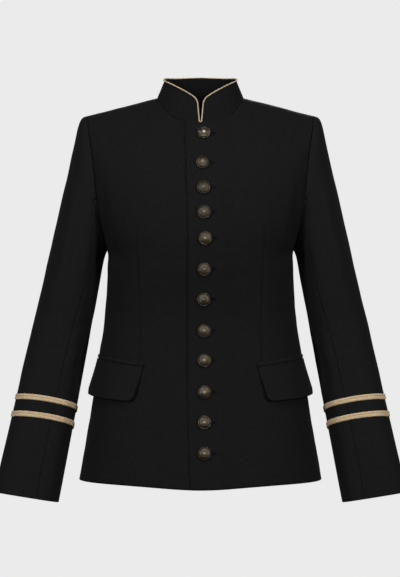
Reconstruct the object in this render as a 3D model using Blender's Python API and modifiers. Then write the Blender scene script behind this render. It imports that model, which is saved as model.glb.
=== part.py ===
"""A fitted black jacket with a stand collar and metal buttons, in its worn shape.

All sizes are in millimetres and become metres in the meshes. The front faces -Y and the
wearer's left is +X. The origin lies between the shoulder seams at the height of the neck,
where the wearer carries the jacket.
"""

import math

import bmesh
import bpy
import numpy as np
from mathutils import Matrix, Vector

NAME = "stand_collar_jacket"
MM = 0.001

# Cloth and seams
CLOTH = 1.8
COLLAR_CLOTH = 2.2
COLLAR_SEAM = 1.1
SEAM = 0.3
ARMHOLE_STEP = 0.6
QUARTER = math.pi / 2
SETTLING_ROUNDS = 40

# Torso: level sections, from above the shoulders down past the hem. Above the underarm the
# half width is that of the full section, which the armhole then cuts.
TORSO_SECTIONS = [
    # height, half_width, front_depth, back_depth
    (20, 262, 66, 90),
    (-10, 241, 72, 94),
    (-46, 219, 82, 99),
    (-86, 200, 96, 102),
    (-120, 189, 106, 104),
    (-150, 182, 114, 105),
    (-180, 172, 119.5, 105),
    (-210, 161.5, 122, 104),
    (-227, 155, 122, 103),
    (-241, 149, 121, 101.5),
    (-272, 148.4, 117, 97),
    (-304, 149.4, 111.5, 92),
    (-336, 151.8, 107, 89),
    (-368, 155, 105, 89),
    (-400, 160.5, 106, 92),
    (-440, 166.5, 109, 97.5),
    (-480, 172, 112.5, 103),
    (-520, 178.5, 116, 107.5),
    (-560, 185.5, 119, 111.5),
    (-620, 196, 123, 116.5),
]
SECTION_POWER = 2.4
CHEST_Z = -150
CHEST_TO_HEM_STEP = 230
CROWN_POWER = 2.5
SHOULDER_TOP_Z = 16.6
SHOULDER_SLOPE = 0.255
SHOULDER_SOFT = 15
HEM_Z = -605.2
HEM_DIP = 7.5

# Neck seam, in plan
NECK_HALF_WIDTH = 69
NECK_FRONT = 67
NECK_BACK = 51
NECK_POWER_FRONT = 2.8
NECK_POWER_BACK = 2.3

# Armhole seam, in the front view
ARMHOLE_TOP_Z = -25.2
ARMHOLE_BOTTOM_Z = -241
ARMHOLE_LINE = [
    # height, distance from the middle
    (-241, 149),
    (-225, 152.4),
    (-200, 157.2),
    (-168, 162),
    (-145, 164.8),
    (-112, 168),
    (-86, 171.3),
    (-62, 175.2),
    (-46, 177.8),
    (-25.2, 180.3),
]

# Closing: the wearer's left front lies over the right one
TOP_FRONT_EDGE = [
    # height, place across the middle
    (-620, -13.2),
    (-590, -16.6),
    (-550, -17.8),
    (-170, -19.8),
    (-86, -22.6),
    (-30, -23.5),
]
UNDER_FRONT_REACH = 26
OVERLAP_LIFT = 2.7
LIFT_FULL_TO = 30
LIFT_NONE_FROM = 56

# Sleeve: rings from the armhole to the cuff, in the front view, with the ring's depth
SLEEVE_RINGS = [
    # station, outer_x, outer_z, inner_x, inner_z, half_depth, middle_y, front_rise
    (0, 180.3, -25.2, 149, -241, 59, -2, 0),
    (1, 189, -29.2, 149.5, -242, 60, -2, 0),
    (2, 194.8, -42, 150, -243, 61, -2, 0),
    (3, 200.9, -70, 150.6, -244.2, 62, -1.5, 0),
    (4, 210.3, -112, 151.4, -246, 63, -1, 0),
    (5, 222.8, -166, 152.6, -249.5, 64, -0.5, 0),
    (6, 237.3, -229, 155.2, -260, 63.5, 0, 1),
    (7, 251.4, -291, 165.2, -314, 60, 0, 2),
    (8, 265.5, -353, 176.4, -374, 56, -1, 3),
    (9, 279.6, -415, 188.3, -440, 52.5, -5, 4),
    (10, 293.7, -477, 199.2, -500, 48.5, -11, 4.5),
    (11, 307.7, -539, 210.2, -560, 44, -18.5, 4.5),
    (12, 320.0, -593, 219.4, -611, 40, -25.5, 4),
    (13, 326.8, -624, 225.0, -640.5, 38, -29.5, 3.5),
]
ARMHOLE_BLEND_TO = 5
SLEEVE_POWER_TOP = 2.05
SLEEVE_POWER_CUFF = 2.5
FOLD_EDGE_ANGLE = math.radians(128)
FOLD_EDGE_SPREAD = math.radians(17)
FOLD_EDGE_SHARE = 0.055
BACK_SEAM_ANGLE = math.radians(-135)
FRONT_SEAM = [
    # station, degrees round from the outside
    (0, 105),
    (1, 105),
    (2, 105),
    (3, 108),
    (4, 114),
    (5, 120.5),
    (6, 124),
    (7, 122),
    (8, 115),
    (9, 111),
    (10, 109.5),
    (13, 110),
]

# Collar: a stand of nearly even height
COLLAR_SHAPE = [
    # degrees from the centre front, height of the top edge, inward lean
    (0, -5, 0.10),
    (15, 5, 0.12),
    (30, 14, 0.15),
    (45, 21.5, 0.22),
    (60, 26.5, 0.32),
    (75, 30.5, 0.40),
    (90, 33.5, 0.43),
    (135, 37.5, 0.37),
    (180, 39.5, 0.30),
]
COLLAR_END_LOW = 1.3
COLLAR_END_HIGH = 4.4
COLLAR_CORNER = 8
COLLAR_END_COLUMNS = (0, 1.3, 3.4, 6.2, COLLAR_CORNER, 15)
COLLAR_COLUMNS = 13
COLLAR_ROWS = 4
COLLAR_END_FADE = 0.35
PIPING_RADIUS = 1.15
PIPING_INSET = 0.6
PIPING_LOOP_RADIUS = 1.9
PIPING_LOOP_DROP = 1.2

# Pocket on each front: a flap under a narrow welt
FLAP_TOP_FRONT = (88.6, -423)
FLAP_TOP_BACK_ANGLE = math.radians(83)
FLAP_TOP_BACK_Z = -411
FLAP_HEIGHT_FRONT = 56
FLAP_HEIGHT_BACK = 60
FLAP_SLANT = 0.2
FLAP_CORNER = 10
FLAP_CORNER_COLUMNS = (0, 1.3, 3.7, 6.9, FLAP_CORNER)
FLAP_COLUMNS = 6
FLAP_ROWS = (1, 0.8, 0.55, 0.28, 0)
FLAP_BEND = 1.3
FLAP_CLOTH = 2
FLAP_GAP = 0.7
FLAP_LIFT_FRONT = 4.5
FLAP_LIFT_BACK = 6.5
WELT_HEIGHT = 5.4
WELT_CLOTH = 1.3
WELT_GAP = 0.5
WELT_OVERHANG = 0.5
WELT_COLUMNS = 8

# Braid: two bands round each sleeve
BRAID_WIDTH = 9.2
BRAID_CLOTH = 1.2
BRAID_GAP = 0.5
BRAID_STATIONS = {"upper": 9.95, "lower": 10.38}
BRAID_RISE = 8.5
BRAID_RISE_ANGLE = math.radians(122)

# Buttons: height of each, and how far it stands from the middle
BUTTON_ROWS = [
    # height, place across
    (-61.1, 5.4),
    (-107.4, 3.4),
    (-146.4, 4.7),
    (-184, 5.5),
    (-224, 7.1),
    (-271.1, 6.2),
    (-317.7, 5.2),
    (-366.7, 5.7),
    (-412.8, 6.1),
    (-461.9, 6.4),
    (-508.2, 6.1),
    (-555.7, 6.3),
]
BUTTON_RADIUS = 10.2
BUTTON_SHANK_RADIUS = 3
BUTTON_GAP = 0.7
BUTTON_HANG = 0.3
BUTTON_SHANK_LENGTH = 1.6
BUTTON_RIM_HEIGHT = 1.5
BUTTON_DOME_HEIGHT = 3.4
BUTTON_EDGE = 0.3
BUTTON_SIDES = 14

# Grid sizes
ROWS_BELOW_ARM = 10
ROWS_AT_ARM = 12
FRONT_NECK_COLUMNS = 10
BACK_NECK_COLUMNS = 6
SHOULDER_COLUMNS = 6
SLEEVE_TOP_COLUMNS = 16
SLEEVE_UNDER_COLUMNS = 8
SLEEVE_STATIONS = np.concatenate([np.linspace(0, 6, 11), np.linspace(6, 13, 10)[1:]])
FIRST_FACING_STATION = 0.15
FLAP_LINE_POINTS = 80


def table_curve(rows):
    """A smooth curve through a table's rows, read at a value of the first column."""
    table = np.array(sorted(rows), float)
    at = table[:, 0]
    values = table[:, 1:]
    slopes = np.gradient(values, at, axis=0)

    def curve(place):
        place = np.clip(np.asarray(place, float), at[0], at[-1])
        i = np.clip(np.searchsorted(at, place) - 1, 0, len(at) - 2)
        step = (at[i + 1] - at[i])[..., None]
        t = (place - at[i])[..., None] / step
        found = values[i] * (1 + 2 * t) * (1 - t) ** 2
        found = found + values[i + 1] * t**2 * (3 - 2 * t)
        found = found + slopes[i] * step * t * (1 - t) ** 2
        return found - slopes[i + 1] * step * t**2 * (1 - t)

    return curve


torso_sizes = table_curve(TORSO_SECTIONS)
armhole_line = table_curve(ARMHOLE_LINE)
top_front_edge = table_curve(TOP_FRONT_EDGE)
sleeve_ring = table_curve(SLEEVE_RINGS)
collar_shape = table_curve(COLLAR_SHAPE)
front_seam = table_curve(FRONT_SEAM)


def smooth_step(start, end, value):
    """0 before start, 1 after end, and an even turn between."""
    t = np.clip((value - start) / (end - start), 0, 1)
    return t * t * (3 - 2 * t)


def unit(vectors):
    """The vectors at length one."""
    return vectors / np.linalg.norm(vectors, axis=-1, keepdims=True)


def superellipse(angle, along_cos, along_sin, power):
    """The radius at an angle of a rounded oblong with these two half sizes."""
    across = (np.abs(np.cos(angle)) / along_cos) ** power
    return (across + (np.abs(np.sin(angle)) / along_sin) ** power) ** (-1 / power)


def shoulder_z(x):
    """The height of the shoulder seam above a place across."""
    return SHOULDER_TOP_Z - SHOULDER_SLOPE * (np.sqrt(x**2 + SHOULDER_SOFT**2) - SHOULDER_SOFT)


def torso(angle, rise):
    """Points of the torso, by the angle from the centre front and by the rise.

    The rise is 0 at the chest and 1 at the shoulder seam, and below 0 it counts down
    towards the hem.
    """
    angle, rise = np.broadcast_arrays(np.asarray(angle, float), np.asarray(rise, float))
    turn = np.clip(rise, 0, 1) * QUARTER
    reach = superellipse(turn, 1, 1, CROWN_POWER)
    up = reach * np.sin(turn)
    depth_kept = reach * np.cos(turn)
    z = CHEST_Z + CHEST_TO_HEM_STEP * np.minimum(rise, 0)
    for _ in range(SETTLING_ROUNDS):
        sizes = torso_sizes(z)
        depth = np.where(np.cos(angle) >= 0, sizes[..., 1], sizes[..., 2])
        radius = superellipse(angle, depth, sizes[..., 0], SECTION_POWER)
        x = radius * np.sin(angle)
        z = np.where(rise > 0, CHEST_Z + (shoulder_z(x) - CHEST_Z) * up, z)
    return np.stack([x, -radius * np.cos(angle) * depth_kept, z], axis=-1)


def full_depth(x, z, back):
    """How far a full section stands from the middle plane at a place across."""
    sizes = torso_sizes(z)
    depth = sizes[..., 2] if back else sizes[..., 1]
    share = np.clip(np.abs(x) / sizes[..., 0], 0, 1)
    return depth * (1 - share**SECTION_POWER) ** (1 / SECTION_POWER)


def around(x, depth, back):
    """The angle from the centre front of a place across on a section."""
    angle = np.arctan2(x, depth)
    return np.sign(x + 1e-12) * math.pi - angle if back else angle


def torso_at(x, z, back=False):
    """The angle and rise of the torso's point at a place in the front view."""
    x, z = np.broadcast_arrays(np.asarray(x, float), np.asarray(z, float))
    share = np.clip((z - CHEST_Z) / (shoulder_z(x) - CHEST_Z), 0, 1)
    kept = (1 - share**CROWN_POWER) ** (1 / CROWN_POWER)
    above = np.arctan2(share, kept) / QUARTER
    rise = np.where(z > CHEST_Z, above, (z - CHEST_Z) / CHEST_TO_HEM_STEP)
    return np.stack([around(x, full_depth(x, z, back), back), rise], axis=-1)


def neck_at(turn):
    """The angle and rise of the neck seam, by the turn in plan from the centre front."""
    turn = np.asarray(turn, float)
    back = np.cos(turn) < 0
    radius = np.where(
        back,
        superellipse(turn, NECK_BACK, NECK_HALF_WIDTH, NECK_POWER_BACK),
        superellipse(turn, NECK_FRONT, NECK_HALF_WIDTH, NECK_POWER_FRONT),
    )
    x = radius * np.sin(turn)
    y = np.abs(radius * np.cos(turn))
    z = np.full_like(x, -20.0)
    for _ in range(SETTLING_ROUNDS):
        depth = np.where(back, full_depth(x, z, True), full_depth(x, z, False))
        kept = np.clip(y / depth, 0, 1)
        share = (1 - kept**CROWN_POWER) ** (1 / CROWN_POWER)
        z = CHEST_Z + (shoulder_z(x) - CHEST_Z) * share
    angle = np.where(back, around(x, depth, True), around(x, depth, False))
    return np.stack([angle, np.arctan2(share, kept) / QUARTER], axis=-1)


def neck_turn(x):
    """The turn in plan of the front neck seam at a place across."""
    kept = 1 - (abs(x) / NECK_HALF_WIDTH) ** NECK_POWER_FRONT
    return math.atan2(x, NECK_FRONT * kept ** (1 / NECK_POWER_FRONT))


def armhole_at(turn, back):
    """The angle and rise of the armhole seam, by the turn from its top."""
    middle = (ARMHOLE_TOP_Z + ARMHOLE_BOTTOM_Z) / 2
    z = middle + (ARMHOLE_TOP_Z - middle) * np.cos(turn)
    return torso_at(armhole_line(z)[..., 0], z, back)


def facing(form, first, second, step=1e-4):
    """The outward direction of a form at its two parameters."""
    across = form(first + step, second) - form(first - step, second)
    along = form(first, second + step) - form(first, second - step)
    return unit(np.cross(across, along))


def patch(bottom, top, left, right):
    """A four-sided grid of parameters between its four edges."""
    u = np.linspace(0, 1, len(bottom))[None, :, None]
    v = np.linspace(0, 1, len(left))[:, None, None]
    ruled = (1 - v) * bottom + v * top + (1 - u) * left[:, None] + u * right[:, None]
    low = (1 - u) * bottom[0] + u * bottom[-1]
    high = (1 - u) * top[0] + u * top[-1]
    return ruled - (1 - v) * low - v * high


def pull_in(points, sides):
    """The grid with its named edges moved in by half a seam's gap."""
    moved = points.copy()
    for side in sides:
        edge, inner = {
            "bottom": ((0, ...), (1, ...)),
            "top": ((-1, ...), (-2, ...)),
            "left": ((slice(None), 0), (slice(None), 1)),
            "right": ((slice(None), -1), (slice(None), -2)),
        }[side]
        moved[edge] += unit(points[inner] - points[edge]) * SEAM / 2
    return moved


def material(name, colour, roughness, metallic=0.0):
    """A plain finish."""
    finish = bpy.data.materials.new(name)
    finish.use_nodes = True
    shader = finish.node_tree.nodes["Principled BSDF"]
    shader.inputs["Base Color"].default_value = (*colour, 1)
    shader.inputs["Roughness"].default_value = roughness
    shader.inputs["Metallic"].default_value = metallic
    return finish


def add(name, mesh, finish):
    """An object of the jacket."""
    mesh.materials.clear()
    mesh.materials.append(finish)
    piece = bpy.data.objects.new(name, mesh)
    jacket.objects.link(piece)
    return piece


def wall(name, outer, inner, finish, mirror=False, closed=False):
    """A closed wall of cloth between two grids of points, one inside the other.

    A closed grid joins its last column to its first, as round a sleeve.
    """
    rows, columns = outer.shape[:2]
    size = rows * columns
    flip = np.array([-1 if mirror else 1, 1, 1]) * MM
    points = np.concatenate([outer.reshape(-1, 3), inner.reshape(-1, 3)]) * flip
    index = np.arange(size).reshape(rows, columns)
    if closed:
        index = np.concatenate([index, index[:, :1]], axis=1)
    faces = []
    for i in range(index.shape[0] - 1):
        for j in range(index.shape[1] - 1):
            corners = (index[i, j], index[i, j + 1], index[i + 1, j + 1], index[i + 1, j])
            faces.append(corners)
            faces.append([corner + size for corner in reversed(corners)])
    rims = [index[0, ::-1], index[-1]]
    if not closed:
        rims += [index[:, 0], index[::-1, -1]]
    for rim in rims:
        for first, second in zip(rim[:-1], rim[1:]):
            faces.append((first, second, second + size, first + size))
    mesh = bpy.data.meshes.new(name)
    mesh.from_pydata(points.tolist(), [], [[int(k) for k in face] for face in faces])
    shape = bmesh.new()
    shape.from_mesh(mesh)
    bmesh.ops.recalc_face_normals(shape, faces=shape.faces)
    shape.to_mesh(mesh)
    shape.free()
    mesh.shade_smooth()
    mesh.set_sharp_from_angle(angle=math.radians(50))
    return add(name, mesh, finish)


def panel(name, grid, lift, sides, mirror):
    """A panel of the body, from its grid of angles and rises."""
    points = torso(grid[..., 0], grid[..., 1])
    normal = facing(torso, grid[..., 0], grid[..., 1])
    points = points + normal * lift(points[..., 0])[..., None]
    points = pull_in(points, sides)
    return wall(name, points, points - normal * CLOTH, cloth, mirror)


def side_edge(back):
    """The side seam and then the armhole, from the hem to the shoulder."""
    low = (HEM_Z - CHEST_Z) / CHEST_TO_HEM_STEP
    high = (ARMHOLE_BOTTOM_Z - CHEST_Z) / CHEST_TO_HEM_STEP
    rise = np.linspace(low, high, ROWS_BELOW_ARM + 1)
    seam = np.stack([np.full_like(rise, QUARTER), rise], axis=-1)
    turn = np.linspace(math.pi, 0, ROWS_AT_ARM + 1)[1:]
    return np.concatenate([seam, armhole_at(turn, back)])


def middle_edge(edge, corner, back):
    """The edge at the middle of a panel, from the hem up to a corner at the neck."""
    low = (hem_z(0) - CHEST_Z) / CHEST_TO_HEM_STEP
    high = (ARMHOLE_BOTTOM_Z - CHEST_Z) / CHEST_TO_HEM_STEP
    below = np.linspace(low, high, ROWS_BELOW_ARM + 1)
    above = np.linspace(high, corner[1], ROWS_AT_ARM + 1)[1:]
    rise = np.concatenate([below, above])
    if back:
        return np.stack([np.full_like(rise, math.pi), rise], axis=-1)
    z = torso(0.0, rise)[..., 2]
    found = torso_at(edge(z), z)
    found[-1] = corner
    return found


def hem_z(angle):
    """The height of the hem, which dips a little towards the centre front."""
    return HEM_Z - HEM_DIP * np.maximum(np.cos(angle), 0) ** 4


def hem_edge(start, columns):
    """The hem from an angle at the middle to the side seam."""
    angle = np.linspace(start, QUARTER, columns + 1)
    rise = (hem_z(angle) - CHEST_Z) / CHEST_TO_HEM_STEP
    return np.stack([angle, rise], axis=-1)


def shoulder_edge(back):
    """The shoulder seam from the neck to the armhole."""
    neck = neck_at(QUARTER)[0]
    neck_x = torso(neck, 1.0)[0]
    x = np.linspace(neck_x, armhole_line(ARMHOLE_TOP_Z)[0], SHOULDER_COLUMNS + 1)[1:]
    return torso_at(x, shoulder_z(x), back)


def front_panel(name, edge, lift, mirror):
    """One front, from its edge past the middle to the side seam."""
    neck = neck_at(np.linspace(neck_turn(edge(-40)), QUARTER, FRONT_NECK_COLUMNS + 1))
    top = np.concatenate([neck, shoulder_edge(False)])
    left = middle_edge(edge, top[0], False)
    bottom = hem_edge(left[0, 0], len(top) - 1)
    left[0] = bottom[0]
    grid = patch(bottom, top, left, side_edge(False))
    return panel(name, grid, lift, ("right", "top"), mirror)


def back_panel(name, mirror):
    """One back, from the centre back seam to the side seam."""
    neck = neck_at(np.linspace(math.pi - 1e-6, QUARTER + 1e-6, BACK_NECK_COLUMNS + 1))
    top = np.concatenate([neck, shoulder_edge(True)])
    left = middle_edge(None, top[0], True)
    bottom = hem_edge(math.pi, len(top) - 1)
    left[0] = bottom[0]
    grid = patch(bottom, top, left, side_edge(True))
    return panel(name, grid, np.zeros_like, ("left", "right", "top"), mirror)


def sleeve_form(station, turn):
    """Points of a sleeve, by the station along it and the turn round it.

    The turn is 0 on the outside of the arm, a quarter at the front and a half inside.
    """
    station, turn = np.broadcast_arrays(np.asarray(station, float), np.asarray(turn, float))
    ring = sleeve_ring(station)
    outer = np.stack([ring[..., 0], 0 * station, ring[..., 1]], axis=-1)
    inner = np.stack([ring[..., 2], 0 * station, ring[..., 3]], axis=-1)
    middle = (outer + inner) / 2 + ring[..., 5, None] * np.array([0, 1, 0])
    down = smooth_step(0, 13, station)
    power = SLEEVE_POWER_TOP + (SLEEVE_POWER_CUFF - SLEEVE_POWER_TOP) * down
    reach = superellipse(turn, 1, 1, power)
    off = (np.mod(turn, 2 * math.pi) - FOLD_EDGE_ANGLE) / FOLD_EDGE_SPREAD
    reach = reach * (1 + FOLD_EDGE_SHARE * smooth_step(6, 10, station) * np.exp(-(off**2)))
    forward = reach * np.sin(turn)
    depth = np.array([0, -1, 0]) * ring[..., 4, None] + np.array([0, 0, 1]) * ring[..., 6, None]
    points = middle + (outer - inner) / 2 * (reach * np.cos(turn))[..., None]
    return points + depth * forward[..., None]


def armhole_loop(turn):
    """Points of the armhole seam, by the turn from its top, forwards."""
    turn = np.mod(turn + math.pi, 2 * math.pi) - math.pi
    seam = np.where(
        (turn >= 0)[..., None],
        armhole_at(np.abs(turn), False),
        armhole_at(np.abs(turn), True),
    )
    points = torso(seam[..., 0], seam[..., 1])
    return points, facing(torso, seam[..., 0], seam[..., 1])


def sleeve(station, turn):
    """Points of a sleeve whose first ring is the armhole seam."""
    station, turn = np.broadcast_arrays(np.asarray(station, float), np.asarray(turn, float))
    points = sleeve_form(station, turn)
    seam, _ = armhole_loop(turn)
    share = (1 - smooth_step(0, ARMHOLE_BLEND_TO, station))[..., None]
    return points + share * (seam - sleeve_form(np.zeros_like(turn), turn))


def sleeve_facing(station, turn):
    """The outward direction of a sleeve."""
    return -facing(sleeve, station, turn, 2e-3)


def top_turns(station):
    """The turns of a sleeve's top piece at a station, from the back seam to the front one."""
    share = np.linspace(0, 1, SLEEVE_TOP_COLUMNS + 1)
    return BACK_SEAM_ANGLE + (np.radians(front_seam(station)) - BACK_SEAM_ANGLE) * share


def under_turns(station):
    """The turns of a sleeve's under piece at a station, on from the front seam."""
    share = np.linspace(1, 0, SLEEVE_UNDER_COLUMNS + 1)
    end = 2 * math.pi + BACK_SEAM_ANGLE
    return end + (np.radians(front_seam(station)) - end) * share


def sleeve_piece(name, turns, mirror):
    """A sleeve's top or under piece, from seam to seam."""
    station = SLEEVE_STATIONS[:, None]
    turn = turns(SLEEVE_STATIONS)
    points = sleeve(station, turn)
    normal = sleeve_facing(np.maximum(station, FIRST_FACING_STATION), turn)
    _, body = armhole_loop(turn[0])
    away = unit(points[1] - points[0])
    over = (away * body).sum(-1)[:, None] < 0
    normal[0] = np.where(over, body, normal[0])
    points[0] = points[0] + away * SEAM + body * ARMHOLE_STEP
    points = pull_in(points, ("left", "right"))
    return wall(name, points, points - normal * CLOTH, cloth, mirror)


def braid(name, station, mirror):
    """A band of braid round a sleeve, over both its pieces."""
    turns = np.concatenate([top_turns(station), under_turns(station)[1:-1]])
    step = np.linalg.norm(sleeve(station + 0.1, 0.0) - sleeve(station - 0.1, 0.0)) / 0.2
    rows = np.array([-0.5, 0.5]) * BRAID_WIDTH / step
    bow = BRAID_RISE / step * np.maximum(np.cos(turns - BRAID_RISE_ANGLE), 0)
    across, turn = np.meshgrid(rows, turns, indexing="ij")
    place = station - bow[None, :] + across
    points = sleeve(place, turn)
    normal = sleeve_facing(place, turn)
    low = points + normal * BRAID_GAP
    return wall(name, low + normal * BRAID_CLOTH, low, gold, mirror, closed=True)


def collar_form(turn, up):
    """Points of the collar's outer face, by the turn in plan and the height above its seam."""
    neck = neck_at(turn)
    points = torso(neck[..., 0], neck[..., 1])
    lean = collar_shape(np.degrees(np.abs(turn)))[..., 1]
    inward = -unit(points * np.array([1 / NECK_HALF_WIDTH**2, 1 / NECK_FRONT**2, 0]))
    bend = np.array([0, 0, 1.0]) + inward * lean[..., None]
    return points + bend * np.asarray(up)[..., None]


def collar_grid():
    """The collar's turns and heights, for a grid that starts at its right end."""
    near_end = np.array(COLLAR_END_COLUMNS) / NECK_FRONT
    start = neck_turn(COLLAR_END_LOW)
    spread = np.linspace(start + near_end[-1], math.pi, COLLAR_COLUMNS + 1)[1:]
    half = np.concatenate([start + near_end, spread])
    turn = np.concatenate([half, (2 * math.pi - half[:-1])[::-1]])
    from_end = np.minimum(turn, 2 * math.pi - turn) - start
    short = np.maximum(COLLAR_CORNER - from_end * NECK_FRONT, 0)
    drop = COLLAR_CORNER - np.sqrt(np.maximum(COLLAR_CORNER**2 - short**2, 0))
    turn = np.where(turn > math.pi, turn - 2 * math.pi, turn)
    neck = neck_at(turn)
    full = collar_shape(np.degrees(np.abs(turn)))[..., 0] - torso(neck[..., 0], neck[..., 1])[..., 2]
    share = np.linspace(0, 1, COLLAR_ROWS)[:, None]
    up = COLLAR_SEAM + share * (full - COLLAR_SEAM - drop)[None, :]
    fade = np.exp(-from_end / COLLAR_END_FADE)[None, :]
    slant = (COLLAR_END_HIGH - COLLAR_END_LOW) / NECK_FRONT * fade * up / full[None, :]
    return turn[None, :] + np.sign(turn)[None, :] * slant, up


def collar():
    """The stand collar and the cord piping in its edge."""
    turn, up = collar_grid()
    points = collar_form(turn, up)
    along = np.gradient(points, axis=1)
    along[:, 0] = points[:, 1] - points[:, 0]
    rise = np.gradient(points, axis=0)
    normal = unit(np.cross(along, rise))
    wall("collar", points, points - normal * COLLAR_CLOTH, cloth)
    edge = np.concatenate([points[:, 0], points[-1, 1:-1], points[::-1, -1]])
    facing_out = np.concatenate([normal[:, 0], normal[-1, 1:-1], normal[::-1, -1]])
    along_edge = unit(np.gradient(edge, axis=0))
    away = unit(np.cross(facing_out, along_edge))
    path = edge + facing_out * (PIPING_RADIUS + SEAM) - away * PIPING_INSET
    cord("collar_piping", np.concatenate([path[1:-1], piping_loop()]), PIPING_RADIUS, gold)


def piping_loop():
    """The cord's turn from one end of the collar to the other, over the edge of the top front."""
    turn = np.linspace(math.pi, 0, 9)
    across = PIPING_LOOP_RADIUS * np.cos(turn)
    below = PIPING_LOOP_DROP + PIPING_LOOP_RADIUS * np.sin(turn)
    neck = neck_at(0.0)
    seam_z = torso(neck[0], neck[1])[2]
    x = np.concatenate([across[:1], across, across[-1:]])
    place = torso_at(x, seam_z - np.concatenate([[0], below, [0]]))
    outward = facing(torso, place[..., 0], place[..., 1])
    return torso(place[..., 0], place[..., 1]) + outward * (OVERLAP_LIFT + SEAM + PIPING_RADIUS)


def cord(name, path, radius, finish):
    """A round cord along a path that closes on itself."""
    curve = bpy.data.curves.new(name, "CURVE")
    curve.dimensions = "3D"
    curve.bevel_depth = radius * MM
    curve.bevel_resolution = 1
    spline = curve.splines.new("POLY")
    spline.use_cyclic_u = True
    spline.points.add(len(path) - 1)
    for point, place in zip(spline.points, path):
        point.co = (*(place * MM), 1)
    curve.materials.append(finish)
    piece = bpy.data.objects.new(name, curve)
    jacket.objects.link(piece)
    return piece


def flap_line():
    """Angles along the top of a flap by distance from its front corner, and its length."""
    start = torso_at(*map(np.array, FLAP_TOP_FRONT))[0]
    angle = np.linspace(start, FLAP_TOP_BACK_ANGLE, FLAP_LINE_POINTS)
    share = np.linspace(0, 1, FLAP_LINE_POINTS)
    z = FLAP_TOP_FRONT[1] + share * (FLAP_TOP_BACK_Z - FLAP_TOP_FRONT[1])
    points = torso(angle, (z - CHEST_Z) / CHEST_TO_HEM_STEP)
    steps = np.linalg.norm(np.diff(points, axis=0), axis=1)
    length = np.concatenate([[0], np.cumsum(steps)])
    return length, angle, z


def on_front(along, down):
    """Angle and rise of a place on the front, by its distance along and below the flap's top."""
    length, angle, z = flap_line()
    along = along + FLAP_SLANT * down
    beyond = (along - np.clip(along, 0, length[-1])) * (angle[-1] - angle[0]) / length[-1]
    found = np.interp(along, length, angle) + beyond
    height = np.interp(along, length, z) - down
    return found, (height - CHEST_Z) / CHEST_TO_HEM_STEP


def pocket(side, mirror):
    """A flap with round lower corners, and the welt above it."""
    total = flap_line()[0][-1]
    near = np.array(FLAP_CORNER_COLUMNS)
    even = np.linspace(near[-1], total - near[-1], FLAP_COLUMNS + 1)[1:-1]
    along = np.concatenate([near, even, total - near[::-1]])
    short = np.maximum(FLAP_CORNER - np.minimum(along, total - along), 0)
    drop = FLAP_CORNER - np.sqrt(np.maximum(FLAP_CORNER**2 - short**2, 0))
    height = FLAP_HEIGHT_FRONT + (FLAP_HEIGHT_BACK - FLAP_HEIGHT_FRONT) * along / total - drop
    share = np.array(FLAP_ROWS)[:, None]
    down = share * height[None, :]
    angle, rise = on_front(along[None, :], down)
    points = torso(angle, rise)
    normal = facing(torso, angle, rise)
    lift = FLAP_LIFT_FRONT + (FLAP_LIFT_BACK - FLAP_LIFT_FRONT) * along / total
    low = points + normal * (FLAP_GAP + lift * share**FLAP_BEND)[..., None]
    wall(f"pocket_flap_{side}", low + normal * FLAP_CLOTH, low, cloth, mirror)

    along = np.linspace(-WELT_OVERHANG, total, WELT_COLUMNS + 1)
    down = np.array([-SEAM, -SEAM - WELT_HEIGHT])[:, None]
    angle, rise = on_front(along[None, :], down)
    points = torso(angle, rise)
    normal = facing(torso, angle, rise)
    low = points + normal * WELT_GAP
    wall(f"pocket_welt_{side}", low + normal * WELT_CLOTH, low, cloth, mirror)


def buttons():
    """Twelve domed buttons down the closing."""
    radius = BUTTON_RADIUS
    top = BUTTON_SHANK_LENGTH + BUTTON_RIM_HEIGHT
    profile = [
        (0, top + BUTTON_DOME_HEIGHT),
        (radius * 0.45, top + BUTTON_DOME_HEIGHT * 0.84),
        (radius * 0.8, top + BUTTON_DOME_HEIGHT * 0.38),
        (radius, top - BUTTON_EDGE),
        (radius, BUTTON_SHANK_LENGTH + BUTTON_EDGE),
        (radius * 0.8, BUTTON_SHANK_LENGTH - BUTTON_EDGE),
        (BUTTON_SHANK_RADIUS, BUTTON_SHANK_LENGTH - BUTTON_EDGE),
        (BUTTON_SHANK_RADIUS, 0),
        (0, 0),
    ]
    mesh = bpy.data.meshes.new("button")
    corners = [(x * MM, 0, z * MM) for x, z in profile]
    mesh.from_pydata(corners, [(i, i + 1) for i in range(len(corners) - 1)], [])
    for number, (z, x) in enumerate(BUTTON_ROWS, start=1):
        place = torso_at(x, z)
        normal = facing(torso, place[0], place[1])
        point = torso(place[0], place[1]) + normal * (OVERLAP_LIFT + BUTTON_GAP)
        piece = add(f"button_{number:02d}", mesh, brass)
        faces_to = unit(normal + np.array([0, -BUTTON_HANG, 0]))
        turn = Vector(faces_to).to_track_quat("Z", "Y").to_matrix().to_4x4()
        piece.matrix_world = Matrix.Translation(Vector(point * MM)) @ turn
        screw = piece.modifiers.new("turned", "SCREW")
        screw.steps = BUTTON_SIDES
        screw.render_steps = BUTTON_SIDES
        screw.use_merge_vertices = True
        screw.merge_threshold = 0.0001
        screw.use_smooth_shade = True


def overlap_lift(x):
    """How far the top front stands out over the under front."""
    return OVERLAP_LIFT * (1 - smooth_step(LIFT_FULL_TO, LIFT_NONE_FROM, x))


for old in list(bpy.data.objects):
    bpy.data.objects.remove(old)
jacket = bpy.data.collections.new(NAME)
bpy.context.scene.collection.children.link(jacket)
cloth = material("black_wool", (0.012, 0.012, 0.014), 0.85)
gold = material("gold_braid", (0.42, 0.30, 0.16), 0.6)
brass = material("aged_brass", (0.10, 0.075, 0.045), 0.35, 1.0)

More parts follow.
